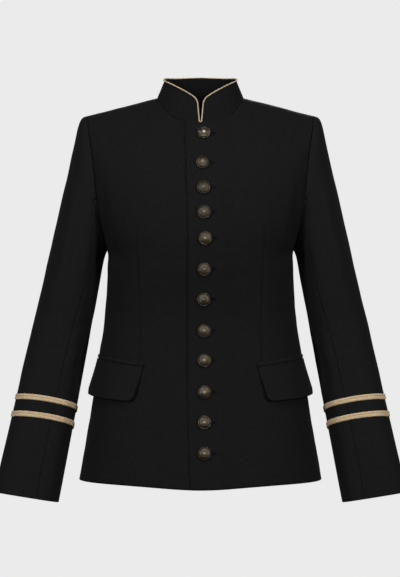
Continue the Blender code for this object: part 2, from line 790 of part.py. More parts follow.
front_panel("front_left", lambda z: top_front_edge(z)[..., 0], overlap_lift, mirror=False)
front_panel("front_right", lambda z: -UNDER_FRONT_REACH + 0 * z, np.zeros_like, mirror=True)
for side, mirror in (("left", False), ("right", True)):
    back_panel(f"back_{side}", mirror)
    sleeve_piece(f"sleeve_top_{side}", top_turns, mirror)
    sleeve_piece(f"sleeve_under_{side}", under_turns, mirror)
    for level, station in BRAID_STATIONS.items():
        braid(f"cuff_braid_{level}_{side}", station, mirror)
    pocket(side, mirror)
collar()
buttons()
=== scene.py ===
"""The looks of a fitted black jacket with a stand collar, gold cord and metal buttons."""

import math

import bpy
import numpy as np
from mathutils import Matrix, Vector, noise


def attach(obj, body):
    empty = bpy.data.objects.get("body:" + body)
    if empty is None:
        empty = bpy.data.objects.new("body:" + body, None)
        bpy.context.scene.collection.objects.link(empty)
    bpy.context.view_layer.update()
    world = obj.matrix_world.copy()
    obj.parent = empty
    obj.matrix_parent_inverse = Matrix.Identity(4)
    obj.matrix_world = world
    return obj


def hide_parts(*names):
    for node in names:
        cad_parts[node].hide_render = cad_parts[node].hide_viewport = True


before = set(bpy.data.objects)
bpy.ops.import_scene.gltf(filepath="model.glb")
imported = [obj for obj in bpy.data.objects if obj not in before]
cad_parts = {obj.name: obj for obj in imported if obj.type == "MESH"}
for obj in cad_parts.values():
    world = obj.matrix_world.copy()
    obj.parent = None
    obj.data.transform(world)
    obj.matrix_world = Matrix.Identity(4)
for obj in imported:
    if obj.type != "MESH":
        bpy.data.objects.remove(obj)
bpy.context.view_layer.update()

# The photograph's view: level, straight from the front, at the height of the waist.
# The long lens keeps the shoulders and the hem at nearly one scale.
CAMERA_PLACE = (-0.0007, -3.2, -0.3016)
LENS_MM = 124.8
SENSOR_MM = 36.0


def in_scene(name, data):
    """A new object of the scene with this data."""
    made = bpy.data.objects.new(name, data)
    bpy.context.scene.collection.objects.link(made)
    return made


camera_data = bpy.data.cameras.new("camera")
camera_data.lens = LENS_MM
camera_data.sensor_fit = "VERTICAL"
camera_data.sensor_height = SENSOR_MM
camera_data.sensor_width = SENSOR_MM
camera = in_scene("camera", camera_data)
camera.location = CAMERA_PLACE
camera.rotation_euler = (math.pi / 2, 0, 0)
bpy.context.scene.camera = camera

# The cloth: black wool, closely woven and brushed, so that it takes light softly.
# Its twill follows each piece's own map, in metres along and across the cloth.
MM = 0.001
CLOTH = 1.8
WOOL_COLOUR = (0.0048, 0.0048, 0.0052)
WOOL_ROUGHNESS = 0.78
WOOL_GLOSS = 0.05
WOOL_SHEEN = 0.012
WOOL_SHEEN_ROUGHNESS = 0.45
TWILL_MM = 0.9
NAP_MM = 0.7
MOTTLE_MM = 5
MOTTLE_SHARE = 0.28
YARN_SHARE = 0.15
EDGE_ROUND = 0.5
CREASE_WHOLE_FROM = 0.35
CREASE_WHOLE_TO = 0.6
EDGES = {
    # rows and columns of an edge, and those of the points beside it
    "bottom": ((0, ...), (1, ...)),
    "top": ((-1, ...), (-2, ...)),
    "left": ((slice(None), 0), (slice(None), 1)),
    "right": ((slice(None), -1), (slice(None), -2)),
}


def new_finish(name, values):
    """A new material with values for its shader, its tree of nodes and that shader."""
    finish = bpy.data.materials.new(name)
    finish.use_nodes = True
    tree = finish.node_tree
    shader = tree.nodes["Principled BSDF"]
    for key, value in values.items():
        shader.inputs[key].default_value = value
    return finish, tree, shader


def add_node(tree, kind, values=(), **settings):
    """A new node of a tree, with values for its inputs and settings of its own."""
    node = tree.nodes.new(kind)
    for key, value in settings.items():
        setattr(node, key, value)
    for key, value in dict(values).items():
        node.inputs[key].default_value = value
    return node


def wire(tree, *wires):
    """Wires in a tree, each from a node's output to a node's input."""
    for source, output, target, given in wires:
        tree.links.new(source.outputs[output], target.inputs[given])


def wool(name, painted_lightness=1.0):
    """Black wool whose twill, nap and faint mottling come from the piece's map. Its painted
    lightness scales the colour per piece: painted light above one, painted shade below one.
    """
    finish, tree, shader = new_finish(name, {
        "Roughness": WOOL_ROUGHNESS,
        "Specular IOR Level": WOOL_GLOSS,
        "Sheen Weight": WOOL_SHEEN,
        "Sheen Roughness": WOOL_SHEEN_ROUGHNESS,
    })
    cloth_map = add_node(tree, "ShaderNodeUVMap", uv_map="cloth")
    bands = {"Scale": 2 * math.pi / 20 / (TWILL_MM * MM), "Distortion": 1.6}
    bands |= {"Detail": 2.0, "Detail Scale": 1.5}
    twill = add_node(tree, "ShaderNodeTexWave", bands, bands_direction="DIAGONAL")
    nap = add_node(tree, "ShaderNodeTexNoise", {"Scale": 1 / (NAP_MM * MM), "Detail": 4.0})
    patches = {"Scale": 1 / (MOTTLE_MM * MM), "Detail": 6.0, "Roughness": 0.7}
    mottle = add_node(tree, "ShaderNodeTexNoise", patches)
    tones = {"From Min": 0.3, "From Max": 0.7}
    # painted_lightness scales the wool's colour per piece: painted light above one, painted shade
    # below one
    tones |= {"To Min": (1 - MOTTLE_SHARE) * painted_lightness, "To Max": (1 + MOTTLE_SHARE) * painted_lightness}
    tone = add_node(tree, "ShaderNodeMapRange", tones)
    yarns = {"To Min": 1 - YARN_SHARE, "To Max": 1 + YARN_SHARE}
    yarn = add_node(tree, "ShaderNodeMapRange", yarns)
    both = add_node(tree, "ShaderNodeMath", operation="MULTIPLY")
    colour = add_node(tree, "ShaderNodeVectorMath", {0: WOOL_COLOUR}, operation="SCALE")
    weave = add_node(tree, "ShaderNodeBump", {"Strength": 0.35, "Distance": 0.12 * MM})
    fuzz = add_node(tree, "ShaderNodeBump", {"Strength": 0.3, "Distance": 0.2 * MM})
    wire(
        tree,
        (cloth_map, "UV", twill, "Vector"),
        (cloth_map, "UV", nap, "Vector"),
        (cloth_map, "UV", mottle, "Vector"),
        (mottle, "Fac", tone, "Value"),
        (twill, "Fac", yarn, "Value"),
        (tone, "Result", both, 0),
        (yarn, "Result", both, 1),
        (both, "Value", colour, "Scale"),
        (colour, "Vector", shader, "Base Color"),
        (twill, "Fac", weave, "Height"),
        (nap, "Fac", fuzz, "Height"),
        (weave, "Normal", fuzz, "Normal"),
        (fuzz, "Normal", shader, "Normal"),
    )
    return finish


def unit(vectors):
    """The vectors at length one."""
    return vectors / np.linalg.norm(vectors, axis=-1, keepdims=True)


def smooth_step(start, end, value):
    """0 before start, 1 after end, and an even turn between."""
    t = np.clip((value - start) / (end - start), 0, 1)
    return t * t * (3 - 2 * t)


def table_curve(rows):
    """A smooth curve through a table's rows, read at a value of the first column."""
    table = np.array(sorted(rows), float)
    at = table[:, 0]
    values = table[:, 1:]
    slopes = np.gradient(values, at, axis=0)

    def curve(place):
        place = np.clip(np.asarray(place, float), at[0], at[-1])
        i = np.clip(np.searchsorted(at, place) - 1, 0, len(at) - 2)
        step = (at[i + 1] - at[i])[..., None]
        t = (place - at[i])[..., None] / step
        found = values[i] * (1 + 2 * t) * (1 - t) ** 2
        found = found + values[i + 1] * t**2 * (3 - 2 * t)
        found = found + slopes[i] * step * t * (1 - t) ** 2
        return found - slopes[i + 1] * step * t**2 * (1 - t)

    return curve


def creased(along, across, creases):
    """How far soft creases raise or sink the cloth, in mm, at places on it."""
    rise = np.zeros(np.broadcast(along, across).shape)
    for start_a, start_b, end_a, end_b, half_width, height in creases:
        run = np.array([end_a - start_a, end_b - start_b], float)
        length = np.hypot(*run)
        a = ((along - start_a) * run[0] + (across - start_b) * run[1]) / length
        off = ((across - start_b) * run[0] - (along - start_a) * run[1]) / length
        starting = smooth_step(0, CREASE_WHOLE_FROM, a / length)
        fade = starting * (1 - smooth_step(CREASE_WHOLE_TO, 1, a / length))
        rise = rise + height * fade * np.exp(-((off / half_width) ** 2))
    return rise


def uneven(points, size, height, seed):
    """Gentle unevenness of pressed and worn cloth, in mm, at points given in mm."""
    flat = points.reshape(-1, 3) / size + seed
    found = [noise.noise(Vector(place)) for place in flat]
    return height * np.array(found).reshape(points.shape[:-1])


def draw_in(moved, points, sides, amount):
    """Moves the edges of a grid towards the points beside them."""
    for side in sides:
        edge, beside = EDGES[side]
        moved[edge] += unit(points[beside] - points[edge]) * amount


def shown(name, mesh):
    """A piece of the jacket with this mesh, on its one body."""
    piece = in_scene(name, mesh)
    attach(piece, "root")
    return piece


def cloth_wall(name, outer, normal, thickness, finish, cloth_map, mirror=False, closed=False):
    """A wall of cloth behind a grid of points in mm, with softly rounded edges.

    A closed grid joins its last column to its first. Each edge gets a middle line of
    points, and the faces' own edges are drawn in from it, so seams read as fine grooves.
    """
    rows, columns = outer.shape[:2]
    faced = outer.copy()
    draw_in(faced, outer, ("bottom", "top") if closed else EDGES, EDGE_ROUND)
    inner = faced - normal * thickness
    middle = outer - normal * thickness / 2
    size = rows * columns
    index = np.arange(size).reshape(rows, columns)
    if closed:
        index = np.concatenate([index, index[:, :1]], axis=1)
    across, down = index.shape[1] - 1, rows - 1
    corners = [index[:-1, :-1], index[:-1, 1:], index[1:, 1:], index[1:, :-1]]
    face = np.stack(corners, axis=-1).reshape(-1, 4)
    faces = [face, face[:, ::-1] + size]
    rims = [index[0, ::-1], index[-1]]
    if not closed:
        rims += [index[:, 0], index[::-1, -1]]
    for rim in rims:
        first, second = rim[:-1], rim[1:]
        mid = [first + 2 * size, second + 2 * size]
        faces.append(np.stack([first, second, mid[1], mid[0]], axis=-1))
        faces.append(np.stack([mid[0], mid[1], second + size, first + size], axis=-1))
    faces = np.concatenate(faces)
    points = np.concatenate([part.reshape(-1, 3) for part in (faced, inner, middle)])
    spread = np.tile(cloth_map.reshape(-1, 2), (3, 1))
    used = np.unique(faces)
    order = np.full(len(points), -1)
    order[used] = np.arange(len(used))
    flip = np.array([-1 if mirror else 1, 1, 1]) * MM
    faces = order[faces]
    row, column = rows // 2, columns // 2
    sideways = outer[row, column + 1] - outer[row, column]
    onward = outer[row + 1, column] - outer[row, column]
    inside_out = np.dot(np.cross(sideways, onward), normal[row, column]) < 0
    if mirror != inside_out:
        faces = faces[:, ::-1]
    mesh = bpy.data.meshes.new(name)
    mesh.from_pydata((points[used] * flip).tolist(), [], faces.tolist())
    spots = np.empty(len(mesh.loops), int)
    mesh.loops.foreach_get("vertex_index", spots)
    layer = mesh.uv_layers.new(name="cloth")
    layer.data.foreach_set("uv", (spread[used][spots] * MM).ravel())
    mesh.shade_smooth()
    mesh.materials.append(finish)
    return shown(name, mesh)


# The body of the jacket, as level sections from the shoulders to the hem.
# Panels lie on this form by an angle from the centre front and a rise over the chest.
QUARTER = math.pi / 2
SETTLING_ROUNDS = 40
TORSO_SECTIONS = [
    # height, half_width, front_depth, back_depth
    (20, 262, 66, 90),
    (-10, 241, 72, 94),
    (-46, 219, 82, 99),
    (-86, 200, 96, 102),
    (-120, 189, 106, 104),
    (-150, 182, 114, 105),
    (-180, 172, 119.5, 105),
    (-210, 161.5, 122, 104),
    (-227, 155, 122, 103),
    (-241, 149, 121, 101.5),
    (-272, 148.4, 117, 97),
    (-304, 149.4, 111.5, 92),
    (-336, 151.8, 107, 89),
    (-368, 155, 105, 89),
    (-400, 160.5, 106, 92),
    (-440, 166.5, 109, 97.5),
    (-480, 172, 112.5, 103),
    (-520, 178.5, 116, 107.5),
    (-560, 185.5, 119, 111.5),
    (-620, 196, 123, 116.5),
]
SECTION_POWER = 2.4
CHEST_Z = -150
CHEST_TO_HEM_STEP = 230
CROWN_POWER = 2.5
SHOULDER_TOP_Z = 16.6
SHOULDER_SLOPE = 0.255
SHOULDER_SOFT = 15
HEM_Z = -605.2
HEM_DIP = 7.5
NECK_HALF_WIDTH = 69
NECK_FRONT = 67
NECK_BACK = 51
NECK_POWER_FRONT = 2.8
NECK_POWER_BACK = 2.3
ARMHOLE_TOP_Z = -25.2
ARMHOLE_BOTTOM_Z = -241
ARMHOLE_LINE = [
    # height, distance from the middle
    (-241, 149),
    (-225, 152.4),
    (-200, 157.2),
    (-168, 162),
    (-145, 164.8),
    (-112, 168),
    (-86, 171.3),
    (-62, 175.2),
    (-46, 177.8),
    (-25.2, 180.3),
]

torso_sizes = table_curve(TORSO_SECTIONS)
armhole_line = table_curve(ARMHOLE_LINE)


def superellipse(angle, along_cos, along_sin, power):
    """The radius at an angle of a rounded oblong with these two half sizes."""
    across = (np.abs(np.cos(angle)) / along_cos) ** power
    return (across + (np.abs(np.sin(angle)) / along_sin) ** power) ** (-1 / power)


def shoulder_z(x):
    """The height of the shoulder seam above a place across."""
    return SHOULDER_TOP_Z - SHOULDER_SLOPE * (np.sqrt(x**2 + SHOULDER_SOFT**2) - SHOULDER_SOFT)


def torso(angle, rise):
    """Points of the body, by the angle from the centre front and by the rise."""
    angle, rise = np.broadcast_arrays(np.asarray(angle, float), np.asarray(rise, float))
    turn = np.clip(rise, 0, 1) * QUARTER
    reach = superellipse(turn, 1, 1, CROWN_POWER)
    up = reach * np.sin(turn)
    depth_kept = reach * np.cos(turn)
    z = CHEST_Z + CHEST_TO_HEM_STEP * np.minimum(rise, 0)
    for _ in range(SETTLING_ROUNDS):
        sizes = torso_sizes(z)
        depth = np.where(np.cos(angle) >= 0, sizes[..., 1], sizes[..., 2])
        radius = superellipse(angle, depth, sizes[..., 0], SECTION_POWER)
        x = radius * np.sin(angle)
        z = np.where(rise > 0, CHEST_Z + (shoulder_z(x) - CHEST_Z) * up, z)
    return np.stack([x, -radius * np.cos(angle) * depth_kept, z], axis=-1)


def full_depth(x, z, behind):
    """How far a full section stands from the middle plane at a place across."""
    sizes = torso_sizes(z)
    depth = sizes[..., 2] if behind else sizes[..., 1]
    share = np.clip(np.abs(x) / sizes[..., 0], 0, 1)
    return depth * (1 - share**SECTION_POWER) ** (1 / SECTION_POWER)


def around(x, depth, behind):
    """The angle from the centre front of a place across on a section."""
    angle = np.arctan2(x, depth)
    return np.sign(x + 1e-12) * math.pi - angle if behind else angle


def torso_at(x, z, behind=False):
    """The angle and rise of the body's point at a place in the front view."""
    x, z = np.broadcast_arrays(np.asarray(x, float), np.asarray(z, float))
    share = np.clip((z - CHEST_Z) / (shoulder_z(x) - CHEST_Z), 0, 1)
    kept = (1 - share**CROWN_POWER) ** (1 / CROWN_POWER)
    above = np.arctan2(share, kept) / QUARTER
    rise = np.where(z > CHEST_Z, above, (z - CHEST_Z) / CHEST_TO_HEM_STEP)
    return np.stack([around(x, full_depth(x, z, behind), behind), rise], axis=-1)


def neck_at(turn):
    """The angle and rise of the neck seam, by the turn in plan from the centre front."""
    turn = np.asarray(turn, float)
    behind = np.cos(turn) < 0
    radius = np.where(
        behind,
        superellipse(turn, NECK_BACK, NECK_HALF_WIDTH, NECK_POWER_BACK),
        superellipse(turn, NECK_FRONT, NECK_HALF_WIDTH, NECK_POWER_FRONT),
    )
    x = radius * np.sin(turn)
    y = np.abs(radius * np.cos(turn))
    z = np.full_like(x, -20.0)
    for _ in range(SETTLING_ROUNDS):
        depth = np.where(behind, full_depth(x, z, True), full_depth(x, z, False))
        kept = np.clip(y / depth, 0, 1)
        share = (1 - kept**CROWN_POWER) ** (1 / CROWN_POWER)
        z = CHEST_Z + (shoulder_z(x) - CHEST_Z) * share
    angle = np.where(behind, around(x, depth, True), around(x, depth, False))
    return np.stack([angle, np.arctan2(share, kept) / QUARTER], axis=-1)


def neck_turn(x):
    """The turn in plan of the front neck seam at a place across."""
    kept = 1 - (abs(x) / NECK_HALF_WIDTH) ** NECK_POWER_FRONT
    return math.atan2(x, NECK_FRONT * kept ** (1 / NECK_POWER_FRONT))


def armhole_at(turn, behind):
    """The angle and rise of the armhole seam, by the turn from its top."""
    middle = (ARMHOLE_TOP_Z + ARMHOLE_BOTTOM_Z) / 2
    z = middle + (ARMHOLE_TOP_Z - middle) * np.cos(turn)
    return torso_at(armhole_line(z)[..., 0], z, behind)


def facing(form, first, second, step=1e-4):
    """The outward direction of a form at its two parameters."""
    across = form(first + step, second) - form(first - step, second)
    along = form(first, second + step) - form(first, second - step)
    return unit(np.cross(across, along))


def patch(bottom, top, left, right, across, up):
    """A four-sided grid of parameters between its four edges."""
    u, v = across[None, :, None], up[:, None, None]
    ruled = (1 - v) * bottom + v * top + (1 - u) * left[:, None] + u * right[:, None]
    low = (1 - u) * bottom[0] + u * bottom[-1]
    high = (1 - u) * top[0] + u * top[-1]
    return ruled - (1 - v) * low - v * high


def chained(*stretches):
    """Even steps through several stretches, each given as start, end and number of steps."""
    parts = [np.linspace(start, end, steps + 1)[1:] for start, end, steps in stretches]
    return np.concatenate([[stretches[0][0]], *parts])


# The fronts, wearer's left over right, each shaped by a dart from under the chest to the
# pocket. Pressed wool: only shallow drags at the armhole, the waist and the closing.
SEAM = 0.05
OVERLAP_LIFT = 2.7
LIFT_FULL_TO = 30
LIFT_NONE_FROM = 56
UNDER_FRONT_REACH = 26
TOP_FRONT_EDGE = [
    # height, place across the middle
    (-620, -13.2),
    (-590, -16.6),
    (-550, -17.8),
    (-170, -19.8),
    (-86, -22.6),
    (-30, -23.5),
]
DART_LINE = [
    # height, distance from the middle
    (-418, 96.8),
    (-369, 95.8),
    (-315, 96.4),
    (-250, 99),
    (-190, 102.5),
]
DART_TOP_Z = -200
DART_FADE = 22
DART_FOOT_Z = -424
DART_FOOT_FADE = 6
DART_HALF_WIDTH = 1.1
DART_DEPTH = 1.6
FRONT_CREASES = [
    # across, height, to across, to height, half width, rise
    (157, -120, 140, -262, 7, -2.2),
    (146, -132, 128, -250, 9, 1.3),
    (151, -232, 108, -270, 6, -1.0),
    (150, -252, 118, -292, 5, 0.8),
    (148, -300, 112, -318, 7, -0.9),
    (150, -336, 104, -340, 8, -1.1),
    (149, -352, 122, -362, 5, 0.7),
    (34, -246, 76, -262, 6, -0.6),
    (32, -292, 84, -284, 7, -0.7),
    (30, -340, 70, -352, 6, -0.6),
    (34, -388, 66, -376, 5, -0.5),
    (120, -488, 132, -606, 14, 1.4),
    (74, -500, 66, -612, 16, -1.3),
    (60, -44, 120, -92, 12, 0.9),
    (92, -30, 150, -62, 10, -0.7),
]
UNDER_FRONT_CREASES = [
    (70, -492, 78, -608, 15, -1.2),
    (58, -50, 124, -84, 11, 0.8),
    (24.8, -50, 23.8, -86, 3, -2.2),
    (23.4, -92, 21.2, -170, 3, -2.2),
    (21, -180, 19.2, -550, 3, -1.8),
]
SEAM_EASE = 0.35
SEAM_EASE_OFF = 4
SEAM_EASE_WIDTH = 3
CLOSING_FLAT_TO = 20
CLOSING_FREE_FROM = 45
CLOSING_TOP_Z = -40
BODY_SWELLS = (46, 0.8)
BODY_RIPPLES = (17, 0.25)
BODY_MAP_RADIUS = 125
BELOW_ARM = 10 / 22  # share of a panel's rows from the hem to the foot of the armhole
FRONT_NECK_END = 8 / 14
FRONT_COLUMNS = chained((0, FRONT_NECK_END, 44), (FRONT_NECK_END, 0.76, 54), (0.76, 1, 20))
FRONT_ROWS = chained((0, BELOW_ARM, 84), (BELOW_ARM, 1, 92))

wool_front = wool("wool_front")
dart_line = table_curve(DART_LINE)
top_front_edge = table_curve(TOP_FRONT_EDGE)


def overlap_lift(x):
    """How far the top front stands out over the under front."""
    return OVERLAP_LIFT * (1 - smooth_step(LIFT_FULL_TO, LIFT_NONE_FROM, x))


def hem_z(angle):
    """The height of the hem, which dips a little towards the centre front."""
    return HEM_Z - HEM_DIP * np.maximum(np.cos(angle), 0) ** 4


def rise_of(z):
    """The rise of a height below the chest."""
    return (z - CHEST_Z) / CHEST_TO_HEM_STEP


def side_edge(rows, behind):
    """The side seam and then the armhole, from the hem to the shoulder."""
    below, above = rows[rows <= BELOW_ARM], rows[rows > BELOW_ARM]
    rise = rise_of(HEM_Z + (ARMHOLE_BOTTOM_Z - HEM_Z) * below / BELOW_ARM)
    seam = np.stack([np.full_like(rise, QUARTER), rise], axis=-1)
    turn = math.pi * (1 - (above - BELOW_ARM) / (1 - BELOW_ARM))
    return np.concatenate([seam, armhole_at(turn, behind)])


def panel_grid(columns, rows, neck_turns, middle, behind):
    """The grid of angles and rises of a panel, from its middle edge round to its side.

    Its first columns meet the neck seam at the given turns, the others the shoulder seam.
    """
    neck = neck_at(neck_turns)
    neck_end, past_neck = columns[len(neck) - 1], columns[len(neck):]
    corner_x = torso(neck_at(QUARTER)[0], 1.0)[0]
    arm_x = armhole_line(ARMHOLE_TOP_Z)[0]
    x = corner_x + (arm_x - corner_x) * (past_neck - neck_end) / (1 - neck_end)
    top = np.concatenate([neck, torso_at(x, shoulder_z(x), behind)])
    hem = rise_of(hem_z(math.pi if behind else 0))
    rises = [hem, rise_of(ARMHOLE_BOTTOM_Z), top[0, 1]]
    left = middle(np.interp(rows, [0, BELOW_ARM, 1], rises))
    left[-1] = top[0]
    angle = left[0, 0] + (QUARTER - left[0, 0]) * columns
    bottom = np.stack([angle, rise_of(hem_z(angle))], axis=-1)
    left[0] = bottom[0]
    return patch(bottom, top, left, side_edge(rows, behind), columns, rows)


def body_panel(name, grid, lift, creases, seed, finish, mirror, dart=False):
    """A panel of the body on its grid of angles and rises."""
    angle, rise = grid[..., 0], grid[..., 1]
    points = torso(angle, rise)
    normal = facing(torso, angle, rise)
    x, z = points[..., 0], points[..., 2]
    out = lift(x) + creased(x, z, creases)
    free = smooth_step(CLOSING_FLAT_TO, CLOSING_FREE_FROM, x) if dart else 1.0
    swells = uneven(points, *BODY_SWELLS, seed) + uneven(points, *BODY_RIPPLES, seed + 5)
    out = out + free * swells
    if dart:
        off = (x - dart_line(z)[..., 0]) / DART_HALF_WIDTH
        there = 1 - smooth_step(DART_TOP_Z - DART_FADE, DART_TOP_Z, z)
        there = there * smooth_step(DART_FOOT_Z, DART_FOOT_Z + DART_FOOT_FADE, z)
        out = out - DART_DEPTH * there * np.exp(-(off**2))
        ease = np.exp(-(((off + SEAM_EASE_OFF) / SEAM_EASE_WIDTH) ** 2))
        out = out + SEAM_EASE * there * ease
    points = points + normal * out[..., None]
    draw_in(points, points, ("right", "top"), SEAM / 2)
    cloth_map = np.stack([angle * BODY_MAP_RADIUS, rise * CHEST_TO_HEM_STEP], axis=-1)
    return cloth_wall(name, points, normal, CLOTH, finish, cloth_map, mirror)


def front_grid(edge):
    """The grid of a front whose closing edge is given by height."""
    start = neck_turn(edge(CLOSING_TOP_Z))
    in_neck = FRONT_COLUMNS[FRONT_COLUMNS <= FRONT_NECK_END]
    turns = start + (QUARTER - start) * in_neck / FRONT_NECK_END

    def middle(rise):
        z = torso(0.0, rise)[..., 2]
        return torso_at(edge(z), z)

    return panel_grid(FRONT_COLUMNS, FRONT_ROWS, np.minimum(turns, QUARTER), middle, False)


front_left = body_panel(
    "left_front",
    front_grid(lambda z: top_front_edge(z)[..., 0]),
    overlap_lift,
    FRONT_CREASES,
    3.0,
    wool_front,
    mirror=False,
    dart=True,
)
front_right = body_panel(
    "right_front",
    front_grid(lambda z: -UNDER_FRONT_REACH + 0 * z),
    np.zeros_like,
    FRONT_CREASES[:-4] + UNDER_FRONT_CREASES,
    11.0,
    wool_front,
    mirror=True,
    dart=True,
)
for front, node in ((front_left, "front_left"), (front_right, "front_right")):
    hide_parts(node)


# The back, in two halves on a centre seam, plain and pressed.
# It has the soft hollows that a fitted back gets at the waist and below the shoulders.
BACK_CREASES = [
    # across, height, to across, to height, half width, rise
    (155, -110, 138, -262, 8, -2.4),
    (144, -120, 124, -246, 10, 1.4),
    (150, -244, 96, -282, 7, -1.2),
    (148, -286, 82, -306, 8, -1.1),
    (150, -322, 70, -330, 9, -1.3),
    (147, -350, 96, -352, 6, 0.8),
    (12, -292, 60, -322, 8, -0.9),
    (14, -60, 96, -96, 14, 1.1),
    (52, -410, 40, -600, 17, 1.8),
    (104, -420, 120, -604, 18, -1.9),
    (150, -450, 160, -602, 14, 1.5),
]
BACK_NECK_END = 0.5
BACK_COLUMNS = chained((0, BACK_NECK_END, 30), (BACK_NECK_END, 1, 34))
BACK_ROWS = chained((0, BELOW_ARM, 66), (BELOW_ARM, 1, 72))
BACK_MIDDLE_SIDE = 1e-6

wool_back = wool("wool_back")


def back_grid():
    """The grid of half the back, from its middle to the side."""
    start, end = math.pi - BACK_MIDDLE_SIDE, QUARTER + BACK_MIDDLE_SIDE
    in_neck = BACK_COLUMNS[BACK_COLUMNS <= BACK_NECK_END]
    turns = start + (end - start) * in_neck / BACK_NECK_END

    def middle(rise):
        return np.stack([np.full_like(rise, math.pi), rise], axis=-1)

    return panel_grid(BACK_COLUMNS, BACK_ROWS, turns, middle, True)


for side, mirror, seed in (("left", False, 21.0), ("right", True, 27.0)):
    half = body_panel(
        f"{side}_back", back_grid(), np.zeros_like, BACK_CREASES, seed, wool_back, mirror
    )
    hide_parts(f"back_{side}")


# The sleeves, each of a top and an under piece, set into the armhole and hanging straight.
# The front seam rolls into a soft pressed edge towards the cuff.
SLEEVE_RINGS = [
    # station, outer_x, outer_z, inner_x, inner_z, half_depth, middle_y, front_rise
    (0, 180.3, -25.2, 149, -241, 59, -2, 0),
    (1, 189, -29.2, 149.5, -242, 60, -2, 0),
    (2, 194.8, -42, 150, -243, 61, -2, 0),
    (3, 200.9, -70, 150.6, -244.2, 62, -1.5, 0),
    (4, 210.3, -112, 151.4, -246, 63, -1, 0),
    (5, 222.8, -166, 152.6, -249.5, 64, -0.5, 0),
    (6, 237.3, -229, 155.2, -260, 63.5, 0, 1),
    (7, 251.4, -291, 165.2, -314, 60, 0, 2),
    (8, 265.5, -353, 176.4, -374, 56, -1, 3),
    (9, 279.6, -415, 188.3, -440, 52.5, -5, 4),
    (10, 293.7, -477, 199.2, -500, 48.5, -11, 4.5),
    (11, 307.7, -539, 210.2, -560, 44, -18.5, 4.5),
    (12, 320.0, -593, 219.4, -611, 40, -25.5, 4),
    (13, 326.8, -624, 225.0, -640.5, 38, -29.5, 3.5),
]
LAST_STATION = 13
ARMHOLE_BLEND_TO = 5
ARMHOLE_STEP = 0.6
SLEEVE_POWER_TOP = 2.05
SLEEVE_POWER_CUFF = 2.5
FOLD_EDGE_ANGLE = math.radians(128)
FOLD_EDGE_SPREAD = math.radians(17)
FOLD_EDGE_SHARE = 0.055
FOLD_EDGE_STATIONS = (6, 10)
BACK_SEAM_ANGLE = math.radians(-135)
FRONT_SEAM = [
    # station, degrees round from the outside
    (0, 105),
    (1, 105),
    (2, 105),
    (3, 108),
    (4, 114),
    (5, 120.5),
    (6, 124),
    (7, 122),
    (8, 115),
    (9, 111),
    (10, 109.5),
    (13, 110),
]
STATION_MM = 62
CREASE_STATIONS = (0.6, 2)
CUFF_CREASE_STATIONS = (9.2, 9.8)
CUFF_CREASE_LOSS = 0.7
SWELL_STATIONS = (0, 1.5)
CUFF_SWELL_STATIONS = (9.2, 9.7)
CUFF_SWELL_LOSS = 0.8
SLEEVE_SWELLS = (38, 0.7)
SLEEVE_MAP_RADIUS = 52
SLEEVE_MAP_SHARE = 0.8
SLEEVE_CREASES = [
    # station, degrees round, to station, to degrees, half width, rise; a station is 62 mm
    (3.2, 78, 7.4, 92, 9, -2.4),
    (3.6, 62, 8.2, 74, 11, 1.6),
    (2.8, 148, 7.6, 160, 19, -6.0),
    (7.8, 160, 9.6, 160, 20, -4.0),
    (4.6, 112, 7.0, 117, 6, 0.8),
    (5.2, 140, 6.9, 168, 7, -1.5),
    (7.6, 152, 8.3, 96, 7, -1.4),
    (8.0, 168, 8.9, 110, 8, 1.2),
    (8.5, 176, 9.1, 118, 6, -1.3),
    (7.2, -150, 8.6, -96, 8, -1.5),
    (8.2, -158, 9.4, -104, 9, 1.3),
    (3.4, -80, 7.2, -98, 10, -2.2),
    (4.4, -120, 6.8, -136, 8, -1.8),
    (6.4, -20, 9.2, -34, 14, -0.9),
    (7.2, 22, 10.2, 12, 16, 0.8),
    (10.8, 40, 12.8, 52, 12, -0.7),
    (11.2, -40, 12.9, -52, 12, -0.7),
]

# Painted light: the sleeves' wool is the same cloth made 1.1 times lighter.
wool_sleeve = wool("wool_sleeve", 1.1)
sleeve_ring = table_curve(SLEEVE_RINGS)
front_seam = table_curve(FRONT_SEAM)


def sleeve_form(station, turn):
    """Points of a sleeve, by the station along it and the turn round it, outside first."""
    station, turn = np.broadcast_arrays(np.asarray(station, float), np.asarray(turn, float))
    ring = sleeve_ring(station)
    outer = np.stack([ring[..., 0], 0 * station, ring[..., 1]], axis=-1)
    inner = np.stack([ring[..., 2], 0 * station, ring[..., 3]], axis=-1)
    middle = (outer + inner) / 2 + ring[..., 5, None] * np.array([0, 1, 0])
    down = smooth_step(0, LAST_STATION, station)
    power = SLEEVE_POWER_TOP + (SLEEVE_POWER_CUFF - SLEEVE_POWER_TOP) * down
    reach = superellipse(turn, 1, 1, power)
    off = (np.mod(turn, 2 * math.pi) - FOLD_EDGE_ANGLE) / FOLD_EDGE_SPREAD
    sharp = FOLD_EDGE_SHARE * smooth_step(*FOLD_EDGE_STATIONS, station)
    reach = reach * (1 + sharp * np.exp(-(off**2)))
    depth = np.array([0, -1, 0]) * ring[..., 4, None] + np.array([0, 0, 1]) * ring[..., 6, None]
    points = middle + (outer - inner) / 2 * (reach * np.cos(turn))[..., None]
    return points + depth * (reach * np.sin(turn))[..., None]


def armhole_loop(turn):
    """Points of the armhole seam and the body's direction there, by the turn from its top."""
    turn = np.mod(turn + math.pi, 2 * math.pi) - math.pi
    ahead, behind = armhole_at(np.abs(turn), False), armhole_at(np.abs(turn), True)
    seam = np.where((turn >= 0)[..., None], ahead, behind)
    points = torso(seam[..., 0], seam[..., 1])
    return points, facing(torso, seam[..., 0], seam[..., 1])


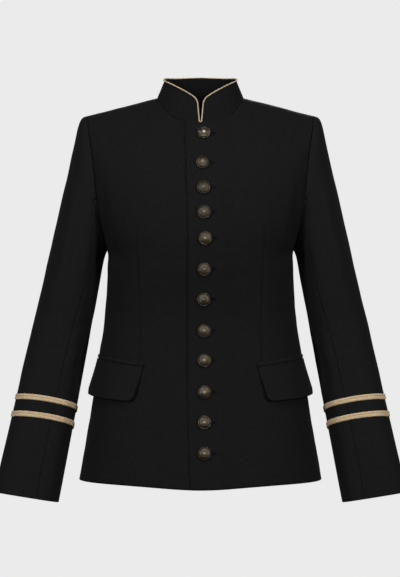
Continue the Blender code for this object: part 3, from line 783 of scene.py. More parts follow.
def sleeve(station, turn):
    """Points of a sleeve whose first ring is the armhole seam."""
    station, turn = np.broadcast_arrays(np.asarray(station, float), np.asarray(turn, float))
    points = sleeve_form(station, turn)
    seam, _ = armhole_loop(turn)
    share = (1 - smooth_step(0, ARMHOLE_BLEND_TO, station))[..., None]
    return points + share * (seam - sleeve_form(np.zeros_like(turn), turn))


def sleeve_facing(station, turn):
    """The outward direction of a sleeve."""
    return -facing(sleeve, station, turn, 2e-3)


def sleeve_drape(station, turn):
    """How far the sleeve's creases lift it, in mm."""
    degrees = np.degrees(np.mod(turn + math.pi, 2 * math.pi) - math.pi)
    along = station * STATION_MM
    rows = [(a * STATION_MM, b, c * STATION_MM, d, w, h) for a, b, c, d, w, h in SLEEVE_CREASES]
    near_seam = smooth_step(*CREASE_STATIONS, station)
    near_cuff = 1 - CUFF_CREASE_LOSS * smooth_step(*CUFF_CREASE_STATIONS, station)
    return creased(along, degrees, rows) * near_seam * near_cuff


def sleeve_turns(station, share):
    """Turns round a sleeve: shares 0 to 1 cross the top piece and 1 to 2 the under one."""
    front = np.radians(front_seam(station))
    top = BACK_SEAM_ANGLE + (front - BACK_SEAM_ANGLE) * share
    under = front + (2 * math.pi + BACK_SEAM_ANGLE - front) * (share - 1)
    return np.where(share <= 1, top, under)


def sleeve_piece(name, share, seed, mirror):
    """A sleeve's top or under piece, from seam to seam."""
    stations = chained((0, 1, 10), (1, 6, 42), (6, LAST_STATION, 84))
    turn = sleeve_turns(stations, share)
    station = stations[:, None] + 0 * turn
    points = sleeve(station, turn)
    normal = sleeve_facing(np.maximum(station, 0.15), turn)
    away = unit(points[1] - points[0])
    _, body = armhole_loop(turn[0])
    over = (away * body).sum(-1)[:, None] < 0
    normal[0] = np.where(over, body, normal[0])
    cuff_loss = smooth_step(*CUFF_SWELL_STATIONS, station) * CUFF_SWELL_LOSS
    ease = smooth_step(*SWELL_STATIONS, station) * (1 - cuff_loss)
    out = sleeve_drape(station, turn) + ease * uneven(points, *SLEEVE_SWELLS, seed)
    points = points + normal * out[..., None]
    points[0] = points[0] + away * SEAM + body * ARMHOLE_STEP
    draw_in(points, points, ("left", "right"), SEAM / 2)
    down = -station * STATION_MM * SLEEVE_MAP_SHARE
    cloth_map = np.stack([turn * SLEEVE_MAP_RADIUS, down], axis=-1)
    return cloth_wall(name, points, normal, CLOTH, wool_sleeve, cloth_map, mirror)


for side, mirror, seed in (("left", False, 31.0), ("right", True, 37.0)):
    top_piece = sleeve_piece(f"{side}_sleeve_top", np.linspace(0, 1, 81), seed, mirror)
    under_piece = sleeve_piece(f"{side}_sleeve_under", np.linspace(1, 2, 41), seed, mirror)
    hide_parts(f"sleeve_top_{side}")
    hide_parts(f"sleeve_under_{side}")


# The pockets: a flap with round lower corners under a narrow welt, on each front.
# The flap stands off the body a little more towards the side.
FLAP_TOP_FRONT = (88.6, -423)
FLAP_TOP_BACK_ANGLE = math.radians(83)
FLAP_TOP_BACK_Z = -411
FLAP_HEIGHT_FRONT = 56
FLAP_HEIGHT_BACK = 60
FLAP_SLANT = 0.2
FLAP_CORNER = 10
FLAP_BEND = 1.3
FLAP_CLOTH = 2
FLAP_GAP = 0.7
FLAP_TOP_GAP = 0.8
FLAP_LIFT_FRONT = 4.5
FLAP_LIFT_BACK = 6.5
FLAP_WAVE = 0.5
FLAP_WAVE_MM = 19.0
WELT_HEIGHT = 5.4
WELT_CLOTH = 1.3
WELT_GAP = 0.5
WELT_OVERHANG = 0.5
WELT_CROWN = 0.7
WELT_CROWN_POWER = 0.6

# Painted light: the pockets' wool is the same cloth made a little lighter.
wool_pocket = wool("wool_pocket", 1.05)


def flap_line():
    """Angles along the top of a flap by distance from its front corner, and its length."""
    start = torso_at(*map(np.array, FLAP_TOP_FRONT))[0]
    angle = np.linspace(start, FLAP_TOP_BACK_ANGLE, 80)
    z = np.linspace(FLAP_TOP_FRONT[1], FLAP_TOP_BACK_Z, 80)
    points = torso(angle, rise_of(z))
    steps = np.linalg.norm(np.diff(points, axis=0), axis=1)
    return np.concatenate([[0], np.cumsum(steps)]), angle, z


def on_front(along, down):
    """Angle and rise of a place on the front, by its distance along and below the flap's top."""
    length, angle, z = flap_line()
    along = along + FLAP_SLANT * down
    beyond = (along - np.clip(along, 0, length[-1])) * (angle[-1] - angle[0]) / length[-1]
    height = np.interp(along, length, z) - down
    return np.interp(along, length, angle) + beyond, rise_of(height)


def pocket_piece(name, along, down, across, out, thickness, mirror):
    """A piece of a pocket, this far out from the front, at places along and below its top."""
    angle, rise = on_front(along[None, :], down + 0 * along)
    normal = facing(torso, angle, rise)
    points = torso(angle, rise) + normal * out[..., None]
    cloth_map = np.stack(np.broadcast_arrays(along[None, :], across), axis=-1)
    return cloth_wall(name, points, normal, thickness, wool_pocket, cloth_map, mirror)


flap_length = flap_line()[0][-1]
corner_steps = FLAP_CORNER * (1 - np.cos(np.linspace(0, QUARTER, 14)))
flap_along = np.concatenate([
    corner_steps,
    np.linspace(FLAP_CORNER, flap_length - FLAP_CORNER, 44)[1:-1],
    flap_length - corner_steps[::-1],
])
for side, mirror in (("left", False), ("right", True)):
    short = np.maximum(FLAP_CORNER - np.minimum(flap_along, flap_length - flap_along), 0)
    drop = FLAP_CORNER - np.sqrt(np.maximum(FLAP_CORNER**2 - short**2, 0))
    slope = FLAP_HEIGHT_BACK - FLAP_HEIGHT_FRONT
    height = FLAP_HEIGHT_FRONT + slope * flap_along / flap_length - drop
    share = np.linspace(1, 0, 34)[:, None]
    down = FLAP_TOP_GAP + share * (height[None, :] - FLAP_TOP_GAP)
    lift = FLAP_LIFT_FRONT + (FLAP_LIFT_BACK - FLAP_LIFT_FRONT) * flap_along / flap_length
    wave = FLAP_WAVE * np.sin(flap_along / FLAP_WAVE_MM + 1) * share**2
    out = FLAP_GAP + FLAP_CLOTH + lift * share**FLAP_BEND + wave
    flap = pocket_piece(
        f"{side}_pocket_flap", flap_along, down, down, out, FLAP_CLOTH, mirror
    )
    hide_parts(f"pocket_flap_{side}")

    along = np.linspace(-WELT_OVERHANG, flap_length, 60)
    share = np.linspace(0, 1, 9)[:, None]
    out = WELT_CROWN * np.sin(math.pi * share) ** WELT_CROWN_POWER + 0 * along
    out = WELT_GAP + WELT_CLOTH + out
    across = share * WELT_HEIGHT
    welt = pocket_piece(
        f"{side}_pocket_welt", along, -SEAM - across, across, out, WELT_CLOTH, mirror
    )
    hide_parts(f"pocket_welt_{side}")


# The stand collar, with rounded front corners: it leans in round the neck and its ends
# almost meet at the centre front. At the back it is tucked a little below the neck seam.
COLLAR_SHAPE = [
    # degrees from the centre front, height of the top edge, inward lean
    (0, -5, 0.10),
    (15, 5, 0.12),
    (30, 14, 0.15),
    (45, 21.5, 0.22),
    (60, 26.5, 0.32),
    (75, 30.5, 0.40),
    (90, 33.5, 0.43),
    (135, 37.5, 0.37),
    (180, 39.5, 0.30),
]
COLLAR_CLOTH = 2.2
COLLAR_SEAM = 0.05
COLLAR_TUCK = 1.3
COLLAR_TUCK_TURNS = (1.9, 2.3)
COLLAR_END_LOW = 1.3
COLLAR_END_HIGH = 4.4
COLLAR_CORNER = 8
COLLAR_END_FADE = 0.35
COLLAR_MAP_RADIUS = 66
PIPING_RADIUS = 1.15
PIPING_INSET = 0.6
PIPING_FREE_ROWS = 5
PIPING_LOOP_RADIUS = 1.9
PIPING_LOOP_DROP = 1.2

# Painted shade: the collar's wool is the same cloth made a little darker.
wool_collar = wool("wool_collar", 0.92)
collar_shape = table_curve(COLLAR_SHAPE)


def collar_form(turn, up):
    """Points of the collar's outer face, by the turn in plan and the height above its seam."""
    neck = neck_at(turn)
    points = torso(neck[..., 0], neck[..., 1])
    lean = collar_shape(np.degrees(np.abs(turn)))[..., 1]
    inward = -unit(points * np.array([1 / NECK_HALF_WIDTH**2, 1 / NECK_FRONT**2, 0]))
    bend = np.array([0, 0, 1.0]) + inward * lean[..., None]
    return points + bend * np.asarray(up)[..., None]


start = neck_turn(COLLAR_END_LOW)
near_end = COLLAR_CORNER * (1 - np.cos(np.linspace(0, QUARTER, 14))) / NECK_FRONT
half = np.concatenate([start + near_end, np.linspace(start + near_end[-1], math.pi, 90)[1:]])
turn = np.concatenate([half, (2 * math.pi - half[:-1])[::-1]])
from_end = np.minimum(turn, 2 * math.pi - turn) - start
short = np.maximum(COLLAR_CORNER - from_end * NECK_FRONT, 0)
drop = COLLAR_CORNER - np.sqrt(np.maximum(COLLAR_CORNER**2 - short**2, 0))
turn = np.where(turn > math.pi, turn - 2 * math.pi, turn)
neck = neck_at(turn)
full = collar_shape(np.degrees(np.abs(turn)))[..., 0] - torso(neck[..., 0], neck[..., 1])[..., 2]
share = np.linspace(0, 1, 16)[:, None]
low = COLLAR_SEAM - COLLAR_TUCK * smooth_step(*COLLAR_TUCK_TURNS, np.abs(turn))
up = low + share * (full - low - drop)[None, :]
fade = np.exp(-from_end / COLLAR_END_FADE)[None, :]
slant = (COLLAR_END_HIGH - COLLAR_END_LOW) / NECK_FRONT * fade * up / full[None, :]
turn = turn[None, :] + np.sign(turn)[None, :] * slant
points = collar_form(turn, up)
rise = np.gradient(points, axis=0)
along = np.gradient(points, axis=1)
normal = unit(np.cross(along, rise))
collar_edge = np.concatenate([points[:, 0], points[-1, 1:-1], points[::-1, -1]])
edge_facing = np.concatenate([normal[:, 0], normal[-1, 1:-1], normal[::-1, -1]])
cloth_map = np.stack([turn * COLLAR_MAP_RADIUS, up], axis=-1)
collar = cloth_wall("stand_collar", points, normal, COLLAR_CLOTH, wool_collar, cloth_map)
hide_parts("collar")


# The gold cord of the collar: three strands twisted together, on the outer face along the
# edge. It is one loop, which closes in a narrow bend over the top of the front.
CORD_TWIST_MM = 3.8
CORD_STRANDS = 3
CORD_STEP = 0.4
STRAND_SIDES = 7
STRAND_RADIUS = 0.62
STRAND_OFFSET = 0.54
LEAST_STEP = 0.02
GOLD_COLOUR = (0.36, 0.28, 0.18)
GOLD_DARK = 0.72
GOLD_LIGHT = 1.18


def colour_ramp(tree, *stops):
    """A ramp between two colours, each given after its place on the ramp."""
    ramp = add_node(tree, "ShaderNodeValToRGB")
    for element, (position, colour) in zip(ramp.color_ramp.elements, stops):
        element.position = position
        element.color = (*colour, 1)
    return ramp


def gold_thread(name, colour, size_mm):
    """Gold-coloured thread with a soft metal glint and slightly uneven colour."""
    values = {"Roughness": 0.55, "Metallic": 0.15, "Sheen Weight": 0.1}
    finish, tree, shader = new_finish(name, values)
    place = add_node(tree, "ShaderNodeTexCoord")
    grain = add_node(tree, "ShaderNodeTexNoise", {"Scale": 1 / (size_mm * MM), "Detail": 3.0})
    dark = [GOLD_DARK * c for c in colour]
    light = [min(GOLD_LIGHT * c, 1) for c in colour]
    ramp = colour_ramp(tree, (0.3, dark), (0.72, light))
    bump = add_node(tree, "ShaderNodeBump", {"Strength": 0.4, "Distance": 0.1 * MM})
    wire(
        tree,
        (place, "Object", grain, "Vector"),
        (grain, "Fac", ramp, "Fac"),
        (ramp, "Color", shader, "Base Color"),
        (grain, "Fac", bump, "Height"),
        (bump, "Normal", shader, "Normal"),
    )
    return finish


def new_tree(name, geometry, values, output):
    """A Geometry Nodes tree with a form and numbers going in and a form coming out."""
    tree = bpy.data.node_groups.new(name, "GeometryNodeTree")
    tree.interface.new_socket(geometry, in_out="INPUT", socket_type="NodeSocketGeometry")
    for key, value in values.items():
        made = tree.interface.new_socket(key, in_out="INPUT", socket_type="NodeSocketFloat")
        made.default_value = value
    tree.interface.new_socket(output, in_out="OUTPUT", socket_type="NodeSocketGeometry")
    return tree, add_node(tree, "NodeGroupInput")


def end_tree(tree, last, output, finish):
    """The end of a tree: its last form smoothed, made real and given a material."""
    smooth = add_node(tree, "GeometryNodeSetShadeSmooth")
    realize = add_node(tree, "GeometryNodeRealizeInstances")
    dress = add_node(tree, "GeometryNodeSetMaterial", {"Material": finish})
    wire(
        tree,
        (last, 0, smooth, "Geometry"),
        (smooth, "Geometry", realize, "Geometry"),
        (realize, "Geometry", dress, "Geometry"),
        (dress, "Geometry", add_node(tree, "NodeGroupOutput"), output),
    )
    return tree


def twisted_cord_tree(finish):
    """Strands wound round a path: resampled, copied, moved off the path and given a round."""
    values = {
        "Step": CORD_STEP * MM,
        "Turn length": CORD_TWIST_MM * MM,
        "Offset": STRAND_OFFSET * MM,
        "Strand radius": STRAND_RADIUS * MM,
    }
    tree, given = new_tree("twisted_cord", "Path", values, "Cord")
    resample = add_node(tree, "GeometryNodeResampleCurve", mode="LENGTH")
    copies = add_node(
        tree, "GeometryNodeDuplicateElements", {"Amount": CORD_STRANDS}, domain="SPLINE"
    )
    along = add_node(tree, "GeometryNodeSplineParameter")
    turns = add_node(tree, "ShaderNodeMath", operation="DIVIDE")
    strand = add_node(tree, "ShaderNodeMath", {1: CORD_STRANDS}, operation="DIVIDE")
    name = {"Name": "strand"}
    store = add_node(tree, "GeometryNodeStoreNamedAttribute", name, domain="CURVE")
    which = add_node(tree, "GeometryNodeInputNamedAttribute", name)
    added = add_node(tree, "ShaderNodeMath", operation="ADD")
    radians = add_node(tree, "ShaderNodeMath", {1: 2 * math.pi}, operation="MULTIPLY")
    tangent = add_node(tree, "GeometryNodeInputTangent")
    upright = add_node(tree, "GeometryNodeInputNormal")
    turned = add_node(tree, "ShaderNodeVectorRotate", rotation_type="AXIS_ANGLE")
    reach = add_node(tree, "ShaderNodeVectorMath", operation="SCALE")
    moved = add_node(tree, "GeometryNodeSetPosition")
    ring = add_node(tree, "GeometryNodeCurvePrimitiveCircle", {"Resolution": STRAND_SIDES})
    skin = add_node(tree, "GeometryNodeCurveToMesh", {"Fill Caps": True})
    wire(
        tree,
        (given, "Path", resample, "Curve"),
        (given, "Step", resample, "Length"),
        (resample, "Curve", copies, "Geometry"),
        (along, "Length", turns, 0),
        (given, "Turn length", turns, 1),
        (copies, "Duplicate Index", strand, 0),
        (strand, "Value", store, "Value"),
        (copies, "Geometry", store, "Geometry"),
        (turns, "Value", added, 0),
        (which, "Attribute", added, 1),
        (added, "Value", radians, 0),
        (upright, "Normal", turned, "Vector"),
        (tangent, "Tangent", turned, "Axis"),
        (radians, "Value", turned, "Angle"),
        (turned, "Vector", reach, 0),
        (given, "Offset", reach, "Scale"),
        (store, "Geometry", moved, "Geometry"),
        (reach, "Vector", moved, "Offset"),
        (given, "Strand radius", ring, "Radius"),
        (moved, "Geometry", skin, "Curve"),
        (ring, "Curve", skin, "Profile Curve"),
    )
    return end_tree(tree, skin, "Cord", finish)


def made_plain(name, source, tree, values, finish):
    """The mesh that a tree makes of a source object, as a piece of its own."""
    grower = source.modifiers.new("made", "NODES")
    grower.node_group = tree
    for item in tree.interface.items_tree:
        if item.item_type == "SOCKET" and item.in_out == "INPUT" and item.name in values:
            grower[item.identifier] = values[item.name]
    depsgraph = bpy.context.evaluated_depsgraph_get()
    mesh = bpy.data.meshes.new_from_object(source.evaluated_get(depsgraph))
    mesh.name = name
    source.modifiers.remove(grower)
    bpy.data.objects.remove(source)
    if not mesh.materials:
        mesh.materials.append(finish)
    return shown(name, mesh)


along_edge = unit(np.gradient(collar_edge, axis=0))
away = unit(np.cross(edge_facing, along_edge))
path = collar_edge + edge_facing * (PIPING_RADIUS + SEAM) - away * PIPING_INSET
turn = np.linspace(math.pi, 0, 25)
across = PIPING_LOOP_RADIUS * np.cos(turn)
below = PIPING_LOOP_DROP + PIPING_LOOP_RADIUS * np.sin(turn)
neck = neck_at(0.0)
place = torso_at(
    np.concatenate([across[:1], across, across[-1:]]),
    torso(neck[0], neck[1])[2] - np.concatenate([[0], below, [0]]),
)
outward = facing(torso, place[..., 0], place[..., 1])
over_front = torso(place[..., 0], place[..., 1]) + outward * (OVERLAP_LIFT + SEAM + PIPING_RADIUS)
path = np.concatenate([path[PIPING_FREE_ROWS:-PIPING_FREE_ROWS], over_front])
lengths = np.linalg.norm(np.diff(path, axis=0, append=path[:1]), axis=1)
path = path[lengths > LEAST_STEP]
whole_twists = round(lengths.sum() / CORD_TWIST_MM)
twist = lengths.sum() / whole_twists * MM

gold_cord = gold_thread("gold_cord", GOLD_COLOUR, 0.8)
curve = bpy.data.curves.new("collar_path", "CURVE")
curve.dimensions = "3D"
spline = curve.splines.new("POLY")
spline.use_cyclic_u = True
spline.points.add(len(path) - 1)
spline.points.foreach_set("co", np.hstack([path * MM, np.ones((len(path), 1))]).ravel())
collar_path = in_scene("collar_path", curve)
twisted = twisted_cord_tree(gold_cord)
piping = made_plain("collar_cord", collar_path, twisted, {"Turn length": twist}, gold_cord)
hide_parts("collar_piping")


# The gold braid: two flat bands round each sleeve, plaited in a close herringbone over a
# woven ground. It is sewn on over both pieces of the sleeve.
BRAID_WIDTH = 9.2
BRAID_CLOTH = 0.9
BRAID_GAP = 0.5
BRAID_STATIONS = {"upper": 9.95, "lower": 10.38}
BRAID_RISE = 8.5
BRAID_RISE_ANGLE = math.radians(122)
PLAIT_STEP = 1.15
PLAIT_LENGTH = 5.2
PLAIT_WIDTH = 1.25
PLAIT_HEIGHT = 1.0
PLAIT_PLACE = 0.46
PLAIT_SLANT = math.radians(42)
BRAID_COLOUR = (0.41, 0.305, 0.18)
BRAID_MAP_RADIUS = 45


def thread_tree(finish):
    """Short raised threads, one at each point, lying along one direction on the cloth."""
    values = {"Length": 0.004, "Width": 0.001, "Height": 0.0005}
    tree, given = new_tree("threads", "Places", values, "Threads")
    lying = add_node(tree, "FunctionNodeAxesToRotation", primary_axis="Z", secondary_axis="X")
    ball = {"Segments": 6, "Rings": 5, "Radius": 0.5}
    thread = add_node(tree, "GeometryNodeMeshUVSphere", ball)
    upright = add_node(tree, "GeometryNodeTransform", {"Rotation": (0, math.pi / 2, 0)})
    size = add_node(tree, "ShaderNodeCombineXYZ")
    placed = add_node(tree, "GeometryNodeInstanceOnPoints")
    for name, axis in (("away", "Primary Axis"), ("along", "Secondary Axis")):
        named = {"Name": name}
        read = add_node(
            tree, "GeometryNodeInputNamedAttribute", named, data_type="FLOAT_VECTOR"
        )
        wire(tree, (read, "Attribute", lying, axis))
    wire(
        tree,
        (thread, "Mesh", upright, "Geometry"),
        (given, "Length", size, "X"),
        (given, "Width", size, "Y"),
        (given, "Height", size, "Z"),
        (given, "Places", placed, "Points"),
        (upright, "Geometry", placed, "Instance"),
        (lying, "Rotation", placed, "Rotation"),
        (size, "Vector", placed, "Scale"),
    )
    return end_tree(tree, placed, "Threads", finish)


def thread_places(name, places, along, away):
    """A loose point for each thread of some rows, with the directions that it lies in."""
    mesh = bpy.data.meshes.new(name)
    mesh.from_pydata((np.concatenate(places) * MM).tolist(), [], [])
    for attribute, vectors in (("along", along), ("away", away)):
        made = mesh.attributes.new(attribute, "FLOAT_VECTOR", "POINT")
        made.data.foreach_set("vector", np.concatenate(vectors).astype(np.float32).ravel())
    return in_scene(name, mesh)


gold_braid = gold_thread("gold_braid", BRAID_COLOUR, 1.4)
braid_threads = thread_tree(gold_braid)
for side, mirror in (("left", False), ("right", True)):
    flip = np.array([-1 if mirror else 1, 1, 1])
    for level, station in BRAID_STATIONS.items():
        step = np.linalg.norm(sleeve(station + 0.1, 0.0) - sleeve(station - 0.1, 0.0)) / 0.2

        def band(across, turn):
            """Points and outward directions on the band, across it from -1 to 1."""
            bow = BRAID_RISE / step * np.maximum(np.cos(turn - BRAID_RISE_ANGLE), 0)
            place = station - bow + across * BRAID_WIDTH / 2 / step
            facing_out = sleeve_facing(place, turn)
            base = sleeve(place, turn) + facing_out * sleeve_drape(place, turn)[..., None]
            return base + facing_out * BRAID_GAP, facing_out

        round_turns = np.linspace(0, 2 * math.pi, 181)[:-1] + BACK_SEAM_ANGLE
        across, turn = np.meshgrid(np.linspace(-1, 1, 7), round_turns, indexing="ij")
        low, facing_out = band(across, turn)
        cloth_map = np.stack([turn * BRAID_MAP_RADIUS, across * BRAID_WIDTH / 2], axis=-1)
        ground = cloth_wall(
            f"{side}_{level}_braid",
            low + facing_out * BRAID_CLOTH,
            facing_out,
            BRAID_CLOTH,
            gold_braid,
            cloth_map,
            mirror,
            closed=True,
        )
        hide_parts(f"cuff_braid_{level}_{side}")

        fine_turns = np.linspace(0, 2 * math.pi, 721)
        loop, _ = band(np.zeros_like(fine_turns), fine_turns)
        gone = np.concatenate([[0], np.cumsum(np.linalg.norm(np.diff(loop, axis=0), axis=1))])
        count = round(gone[-1] / PLAIT_STEP)
        even_turns = np.interp(np.arange(count) / count * gone[-1], gone, fine_turns)
        places, directions, ups = [], [], []
        for half_side in (-1, 1):
            beside = np.full(count, half_side * PLAIT_PLACE)
            centre, facing_out = band(beside, even_turns)
            ahead, _ = band(beside, even_turns + 0.01)
            onward = unit(ahead - centre)
            sideways = np.cross(facing_out, onward)
            slanted = onward * math.cos(PLAIT_SLANT) + sideways * half_side * math.sin(PLAIT_SLANT)
            places.append((centre + facing_out * BRAID_CLOTH) * flip)
            directions.append(slanted * flip)
            ups.append(facing_out * flip)
        source = thread_places("plait", places, directions, ups)
        plait = made_plain(
            f"{side}_{level}_braid_plait",
            source,
            braid_threads,
            {"Length": PLAIT_LENGTH * MM, "Width": PLAIT_WIDTH * MM, "Height": PLAIT_HEIGHT * MM},
            gold_braid,
        )


# The buttons: twelve domed metal ones, dark with age and worn bright on what stands out.
# A plain ring of flutes round a boss stands where such buttons carry a raised design.
BUTTON_ROWS = [
    # height, place across
    (-61.1, 5.4),
    (-107.4, 3.4),
    (-146.4, 4.7),
    (-184, 5.5),
    (-224, 7.1),
    (-271.1, 6.2),
    (-317.7, 5.2),
    (-366.7, 5.7),
    (-412.8, 6.1),
    (-461.9, 6.4),
    (-508.2, 6.1),
    (-555.7, 6.3),
]
BUTTON_RADIUS = 10.2
BUTTON_SHANK_RADIUS = 3
BUTTON_SHANK_LENGTH = 1.6
BUTTON_GAP = 0.7
BUTTON_HANG = 0.3
BUTTON_RIM_HEIGHT = 1.5
BUTTON_DOME_HEIGHT = 3.4
FLUTES = 18
RIM_BEADS = 40
BUTTON_SPOKES = 160
BUTTON_SPIN = 137.5
DOME_POWER = 2.2
RIM_FROM = 0.84
BOSS_HEIGHT = 0.45
RING_HEIGHT = 0.35
FLUTE_HEIGHT = 0.42
RIM_ROLL_HEIGHT = 0.75
WORN_WHOLLY_AT = 0.62
SHANK_WEAR = 0.15
GRIME_MM = 1.6
GRIME_SHARE = 0.55
HOLLOW_COLOUR = (0.016, 0.0135, 0.010)
HOLLOW_ROUGHNESS = 0.42
RUBBED_COLOUR = (0.115, 0.096, 0.070)
RUBBED_ROUGHNESS = 0.22


def aged_metal():
    """Old brass: brown-black in the hollows, yellow and smoother where it is rubbed."""
    finish, tree, shader = new_finish("aged_brass", {"Metallic": 1.0})
    worn = add_node(tree, "ShaderNodeAttribute", attribute_name="worn")
    place = add_node(tree, "ShaderNodeTexCoord")
    grime = add_node(tree, "ShaderNodeTexNoise", {"Scale": 1 / (GRIME_MM * MM), "Detail": 4.0})
    mixed = add_node(tree, "ShaderNodeMath", {1: GRIME_SHARE}, operation="MULTIPLY_ADD")
    ramp = colour_ramp(tree, (0.3, HOLLOW_COLOUR), (1.1 / 1.2, RUBBED_COLOUR))
    rub = add_node(
        tree, "ShaderNodeMapRange", {"To Min": HOLLOW_ROUGHNESS, "To Max": RUBBED_ROUGHNESS}
    )
    wire(
        tree,
        (place, "Object", grime, "Vector"),
        (grime, "Fac", mixed, 0),
        (worn, "Fac", mixed, 2),
        (mixed, "Value", ramp, "Fac"),
        (ramp, "Color", shader, "Base Color"),
        (worn, "Fac", rub, "Value"),
        (rub, "Result", shader, "Roughness"),
    )
    return finish


def button_shape():
    """Points, faces and worn parts of a button that faces +Z, on a grid of rings and spokes."""
    ring_at = np.concatenate([
        np.linspace(0, 0.3, 7),
        np.linspace(0.33, 0.82, 18),
        np.linspace(RIM_FROM, 1, 9),
    ])
    spokes = np.linspace(0, 2 * math.pi, BUTTON_SPOKES, endpoint=False)
    r, t = np.meshgrid(ring_at, spokes, indexing="ij")
    dome = BUTTON_DOME_HEIGHT * (1 - r**DOME_POWER) * (r < RIM_FROM) + 0.15 * (r >= RIM_FROM)
    boss = BOSS_HEIGHT * (1 - smooth_step(0.2, 0.3, r))
    ring = RING_HEIGHT * np.exp(-(((r - 0.36) / 0.03) ** 2))
    ribbed = smooth_step(0.42, 0.5, r) * (1 - smooth_step(0.74, 0.8, r))
    flutes = FLUTE_HEIGHT * ribbed * np.cos(FLUTES * t) ** 2
    rim = RIM_ROLL_HEIGHT * np.exp(-(((r - 0.92) / 0.055) ** 2))
    rim = rim * (1 + 0.22 * np.cos(RIM_BEADS * t))
    relief = boss + ring + flutes + rim
    height = BUTTON_SHANK_LENGTH + BUTTON_RIM_HEIGHT + dome + relief - 0.55
    height[-1] = BUTTON_SHANK_LENGTH + BUTTON_RIM_HEIGHT - 0.35
    worn = np.clip(relief / WORN_WHOLLY_AT, 0, 1)
    lower = [
        # share of the radius, height
        (1.0, BUTTON_SHANK_LENGTH + 0.2),
        (0.95, BUTTON_SHANK_LENGTH - 0.1),
        (0.8, BUTTON_SHANK_LENGTH - 0.3),
        (BUTTON_SHANK_RADIUS / BUTTON_RADIUS, BUTTON_SHANK_LENGTH - 0.3),
        (BUTTON_SHANK_RADIUS / BUTTON_RADIUS, 0.0),
    ]
    for share_r, z in lower:
        r = np.vstack([r, np.full((1, BUTTON_SPOKES), share_r)])
        t = np.vstack([t, spokes[None, :]])
        height = np.vstack([height, np.full((1, BUTTON_SPOKES), z)])
        worn = np.vstack([worn, np.full((1, BUTTON_SPOKES), SHANK_WEAR)])
    x, y = r * np.cos(t) * BUTTON_RADIUS, r * np.sin(t) * BUTTON_RADIUS
    points = np.stack([x, y, height], axis=-1)[1:].reshape(-1, 3)
    tip = [0, 0, height[0, 0]]
    foot = [0, 0, 0]
    points = np.vstack([points, [tip, foot]])
    rings = len(r) - 1
    index = np.arange(rings * BUTTON_SPOKES).reshape(rings, BUTTON_SPOKES)
    index = np.concatenate([index, index[:, :1]], axis=1)
    corners = [index[:-1, :-1], index[1:, :-1], index[1:, 1:], index[:-1, 1:]]
    faces = np.stack(corners, axis=-1).reshape(-1, 4).tolist()
    top, bottom = len(points) - 2, len(points) - 1
    faces += [[top, int(a), int(b)] for a, b in zip(index[0, :-1], index[0, 1:])]
    faces += [[bottom, int(b), int(a)] for a, b in zip(index[-1, :-1], index[-1, 1:])]
    worn = np.concatenate([worn[1:].ravel(), [worn[0, 0], 0]])
    return points, faces, worn


button_points, button_faces, button_worn = button_shape()
brass = aged_metal()
for number, (z, x) in enumerate(BUTTON_ROWS, start=1):
    place = torso_at(x, z)
    outward = facing(torso, place[0], place[1])
    seat = torso(place[0], place[1]) + outward * (OVERLAP_LIFT + BUTTON_GAP)
    faces_to = Vector(outward) + Vector((0, -BUTTON_HANG, 0))
    turned = faces_to.to_track_quat("Z", "Y").to_matrix()
    spin = Matrix.Rotation(math.radians(BUTTON_SPIN * number), 3, "Z")
    placed = button_points @ np.array(turned @ spin).T + seat
    mesh = bpy.data.meshes.new(f"button_{number:02d}_metal")
    mesh.from_pydata((placed * MM).tolist(), [], button_faces)
    mesh.attributes.new("worn", "FLOAT", "POINT").data.foreach_set("value", button_worn)
    mesh.shade_smooth()
    mesh.materials.append(brass)
    button = shown(f"button_{number:02d}_metal", mesh)
    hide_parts(f"button_{number:02d}")


# The buttonholes: a level slit beside each button, bound all round with close stitches of
# black silk and closed by a bar at its outer end.
HOLE_START = 1.5
HOLE_END = 17.5
HOLE_HALF_GAP = 1.15
HOLE_STITCH_STEP = 0.42
HOLE_STITCH_LENGTH = 1.9
HOLE_STITCH_WIDTH = 0.42
HOLE_STITCH_HEIGHT = 0.34
HOLE_STITCH_LIFT = 0.1
SILK_MM = 0.4
SILK_DARK = (0.001, 0.001, 0.001)
SILK_LIGHT = (0.003, 0.003, 0.0035)

black_silk, silk_tree, silk = new_finish(
    "black_silk", {"Roughness": 0.7, "Specular IOR Level": 0.06}
)
strand_place = add_node(silk_tree, "ShaderNodeTexCoord")
strand_tone = add_node(silk_tree, "ShaderNodeTexNoise", {"Scale": 1 / (SILK_MM * MM)})
strand_ramp = colour_ramp(silk_tree, (0, SILK_DARK), (1, SILK_LIGHT))
wire(
    silk_tree,
    (strand_place, "Object", strand_tone, "Vector"),
    (strand_tone, "Fac", strand_ramp, "Fac"),
    (strand_ramp, "Color", silk, "Base Color"),
)
hole_threads = thread_tree(black_silk)


def on_left_front(x, z):
    """Points on the left front's face, and their outward directions."""
    place = torso_at(x, z)
    outward = facing(torso, place[..., 0], place[..., 1])
    lift = overlap_lift(x) + creased(x, z, FRONT_CREASES)
    return torso(place[..., 0], place[..., 1]) + outward * lift[..., None], outward


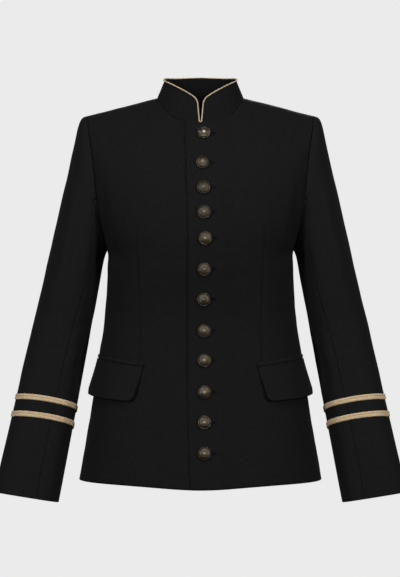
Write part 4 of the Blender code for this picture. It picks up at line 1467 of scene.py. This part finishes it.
places, directions, ups = [], [], []
for z, x in BUTTON_ROWS:
    steps = np.arange(HOLE_START, HOLE_END, HOLE_STITCH_STEP)
    ends = np.radians(np.linspace(-70, 70, 7))
    across = np.concatenate([steps, steps, HOLE_END + HOLE_HALF_GAP * np.cos(ends)])
    height = np.concatenate([
        np.full(len(steps), HOLE_HALF_GAP),
        np.full(len(steps), -HOLE_HALF_GAP),
        HOLE_HALF_GAP * np.sin(ends),
    ])
    face, outward = on_left_front(x + across, z + height)
    run = np.concatenate([np.full(2 * len(steps), QUARTER), ends])
    level = unit(np.cross(outward, np.array([0, 0, 1.0]))) * -1
    plumb = np.cross(outward, level) * -1
    places.append(face + outward * HOLE_STITCH_LIFT)
    directions.append(level * np.cos(run)[:, None] + plumb * np.sin(run)[:, None])
    ups.append(outward)
source = thread_places("stitches", places, directions, ups)
buttonholes = made_plain(
    "buttonhole_stitches",
    source,
    hole_threads,
    {
        "Length": HOLE_STITCH_LENGTH * MM,
        "Width": HOLE_STITCH_WIDTH * MM,
        "Height": HOLE_STITCH_HEIGHT * MM,
    },
    black_silk,
)


# The studio: a pale floor that sweeps up behind, even light from a white room, and large
# soft lamps from above, in front and behind.
FLOOR_Z = -2.6
SWEEP_HALF_WIDTH = 8.0
SWEEP_FRONT_Y = -6.0
SWEEP_BACK_Y = 6.5
SWEEP_RADIUS = 1.5
SWEEP_TOP_Z = 6.0
PAPER_GLOW = 0.825
ROOM_LIGHT = 0.13

profile = [(SWEEP_FRONT_Y, FLOOR_Z)]
for share_turn in np.linspace(0, QUARTER, 25):
    y = SWEEP_BACK_Y - SWEEP_RADIUS + SWEEP_RADIUS * math.sin(share_turn)
    z = FLOOR_Z + SWEEP_RADIUS - SWEEP_RADIUS * math.cos(share_turn)
    profile.append((y, z))
profile.append((SWEEP_BACK_Y, SWEEP_TOP_Z))
corners = [(x, y, z) for y, z in profile for x in (-SWEEP_HALF_WIDTH, SWEEP_HALF_WIDTH)]
sheets = [(2 * i, 2 * i + 1, 2 * i + 3, 2 * i + 2) for i in range(len(profile) - 1)]
mesh = bpy.data.meshes.new("studio_floor")
mesh.from_pydata(corners, [], sheets)
mesh.shade_smooth()
paper, _, _ = new_finish("pale_paper", {
    "Base Color": (0.01, 0.01, 0.01, 1),
    "Roughness": 1.0,
    "Specular IOR Level": 0.0,
    "Emission Color": (1, 1, 1, 1),
    "Emission Strength": PAPER_GLOW,
})
mesh.materials.append(paper)
floor = in_scene("studio_floor", mesh)
floor.visible_diffuse = False
floor.visible_glossy = False

world = bpy.data.worlds.new("white_room")
world.use_nodes = True
background = world.node_tree.nodes["Background"]
background.inputs["Color"].default_value = (1, 1, 1, 1)
background.inputs["Strength"].default_value = ROOM_LIGHT
bpy.context.scene.world = world
bpy.context.scene.view_settings.view_transform = "Standard"

LAMPS = [
    # name, place, aim, size, power
    ("lamp_above", (0, -2.2, 2.4), (0, 0, -0.3), 1.0, 54),
    ("lamp_front", (-0.3, -4.2, 0), (0, 0, -0.4), 0.8, 30),
    ("lamp_right", (2.5, -2.7, 0.7), (0, 0, -0.4), 0.8, 80),
    ("lamp_left", (-2.5, -2.7, 0.7), (0, 0, -0.4), 0.8, 80),
    ("lamp_behind", (0.4, 4.0, 1.4), (0, 0, -0.4), 1.2, 70),
]
for name, place, aim, size, power in LAMPS:
    lamp_data = bpy.data.lights.new(name, "AREA")
    lamp_data.size = size
    lamp_data.energy = power
    lamp = in_scene(name, lamp_data)
    lamp.location = place
    lamp.rotation_euler = (Vector(aim) - Vector(place)).to_track_quat("-Z", "Y").to_euler()
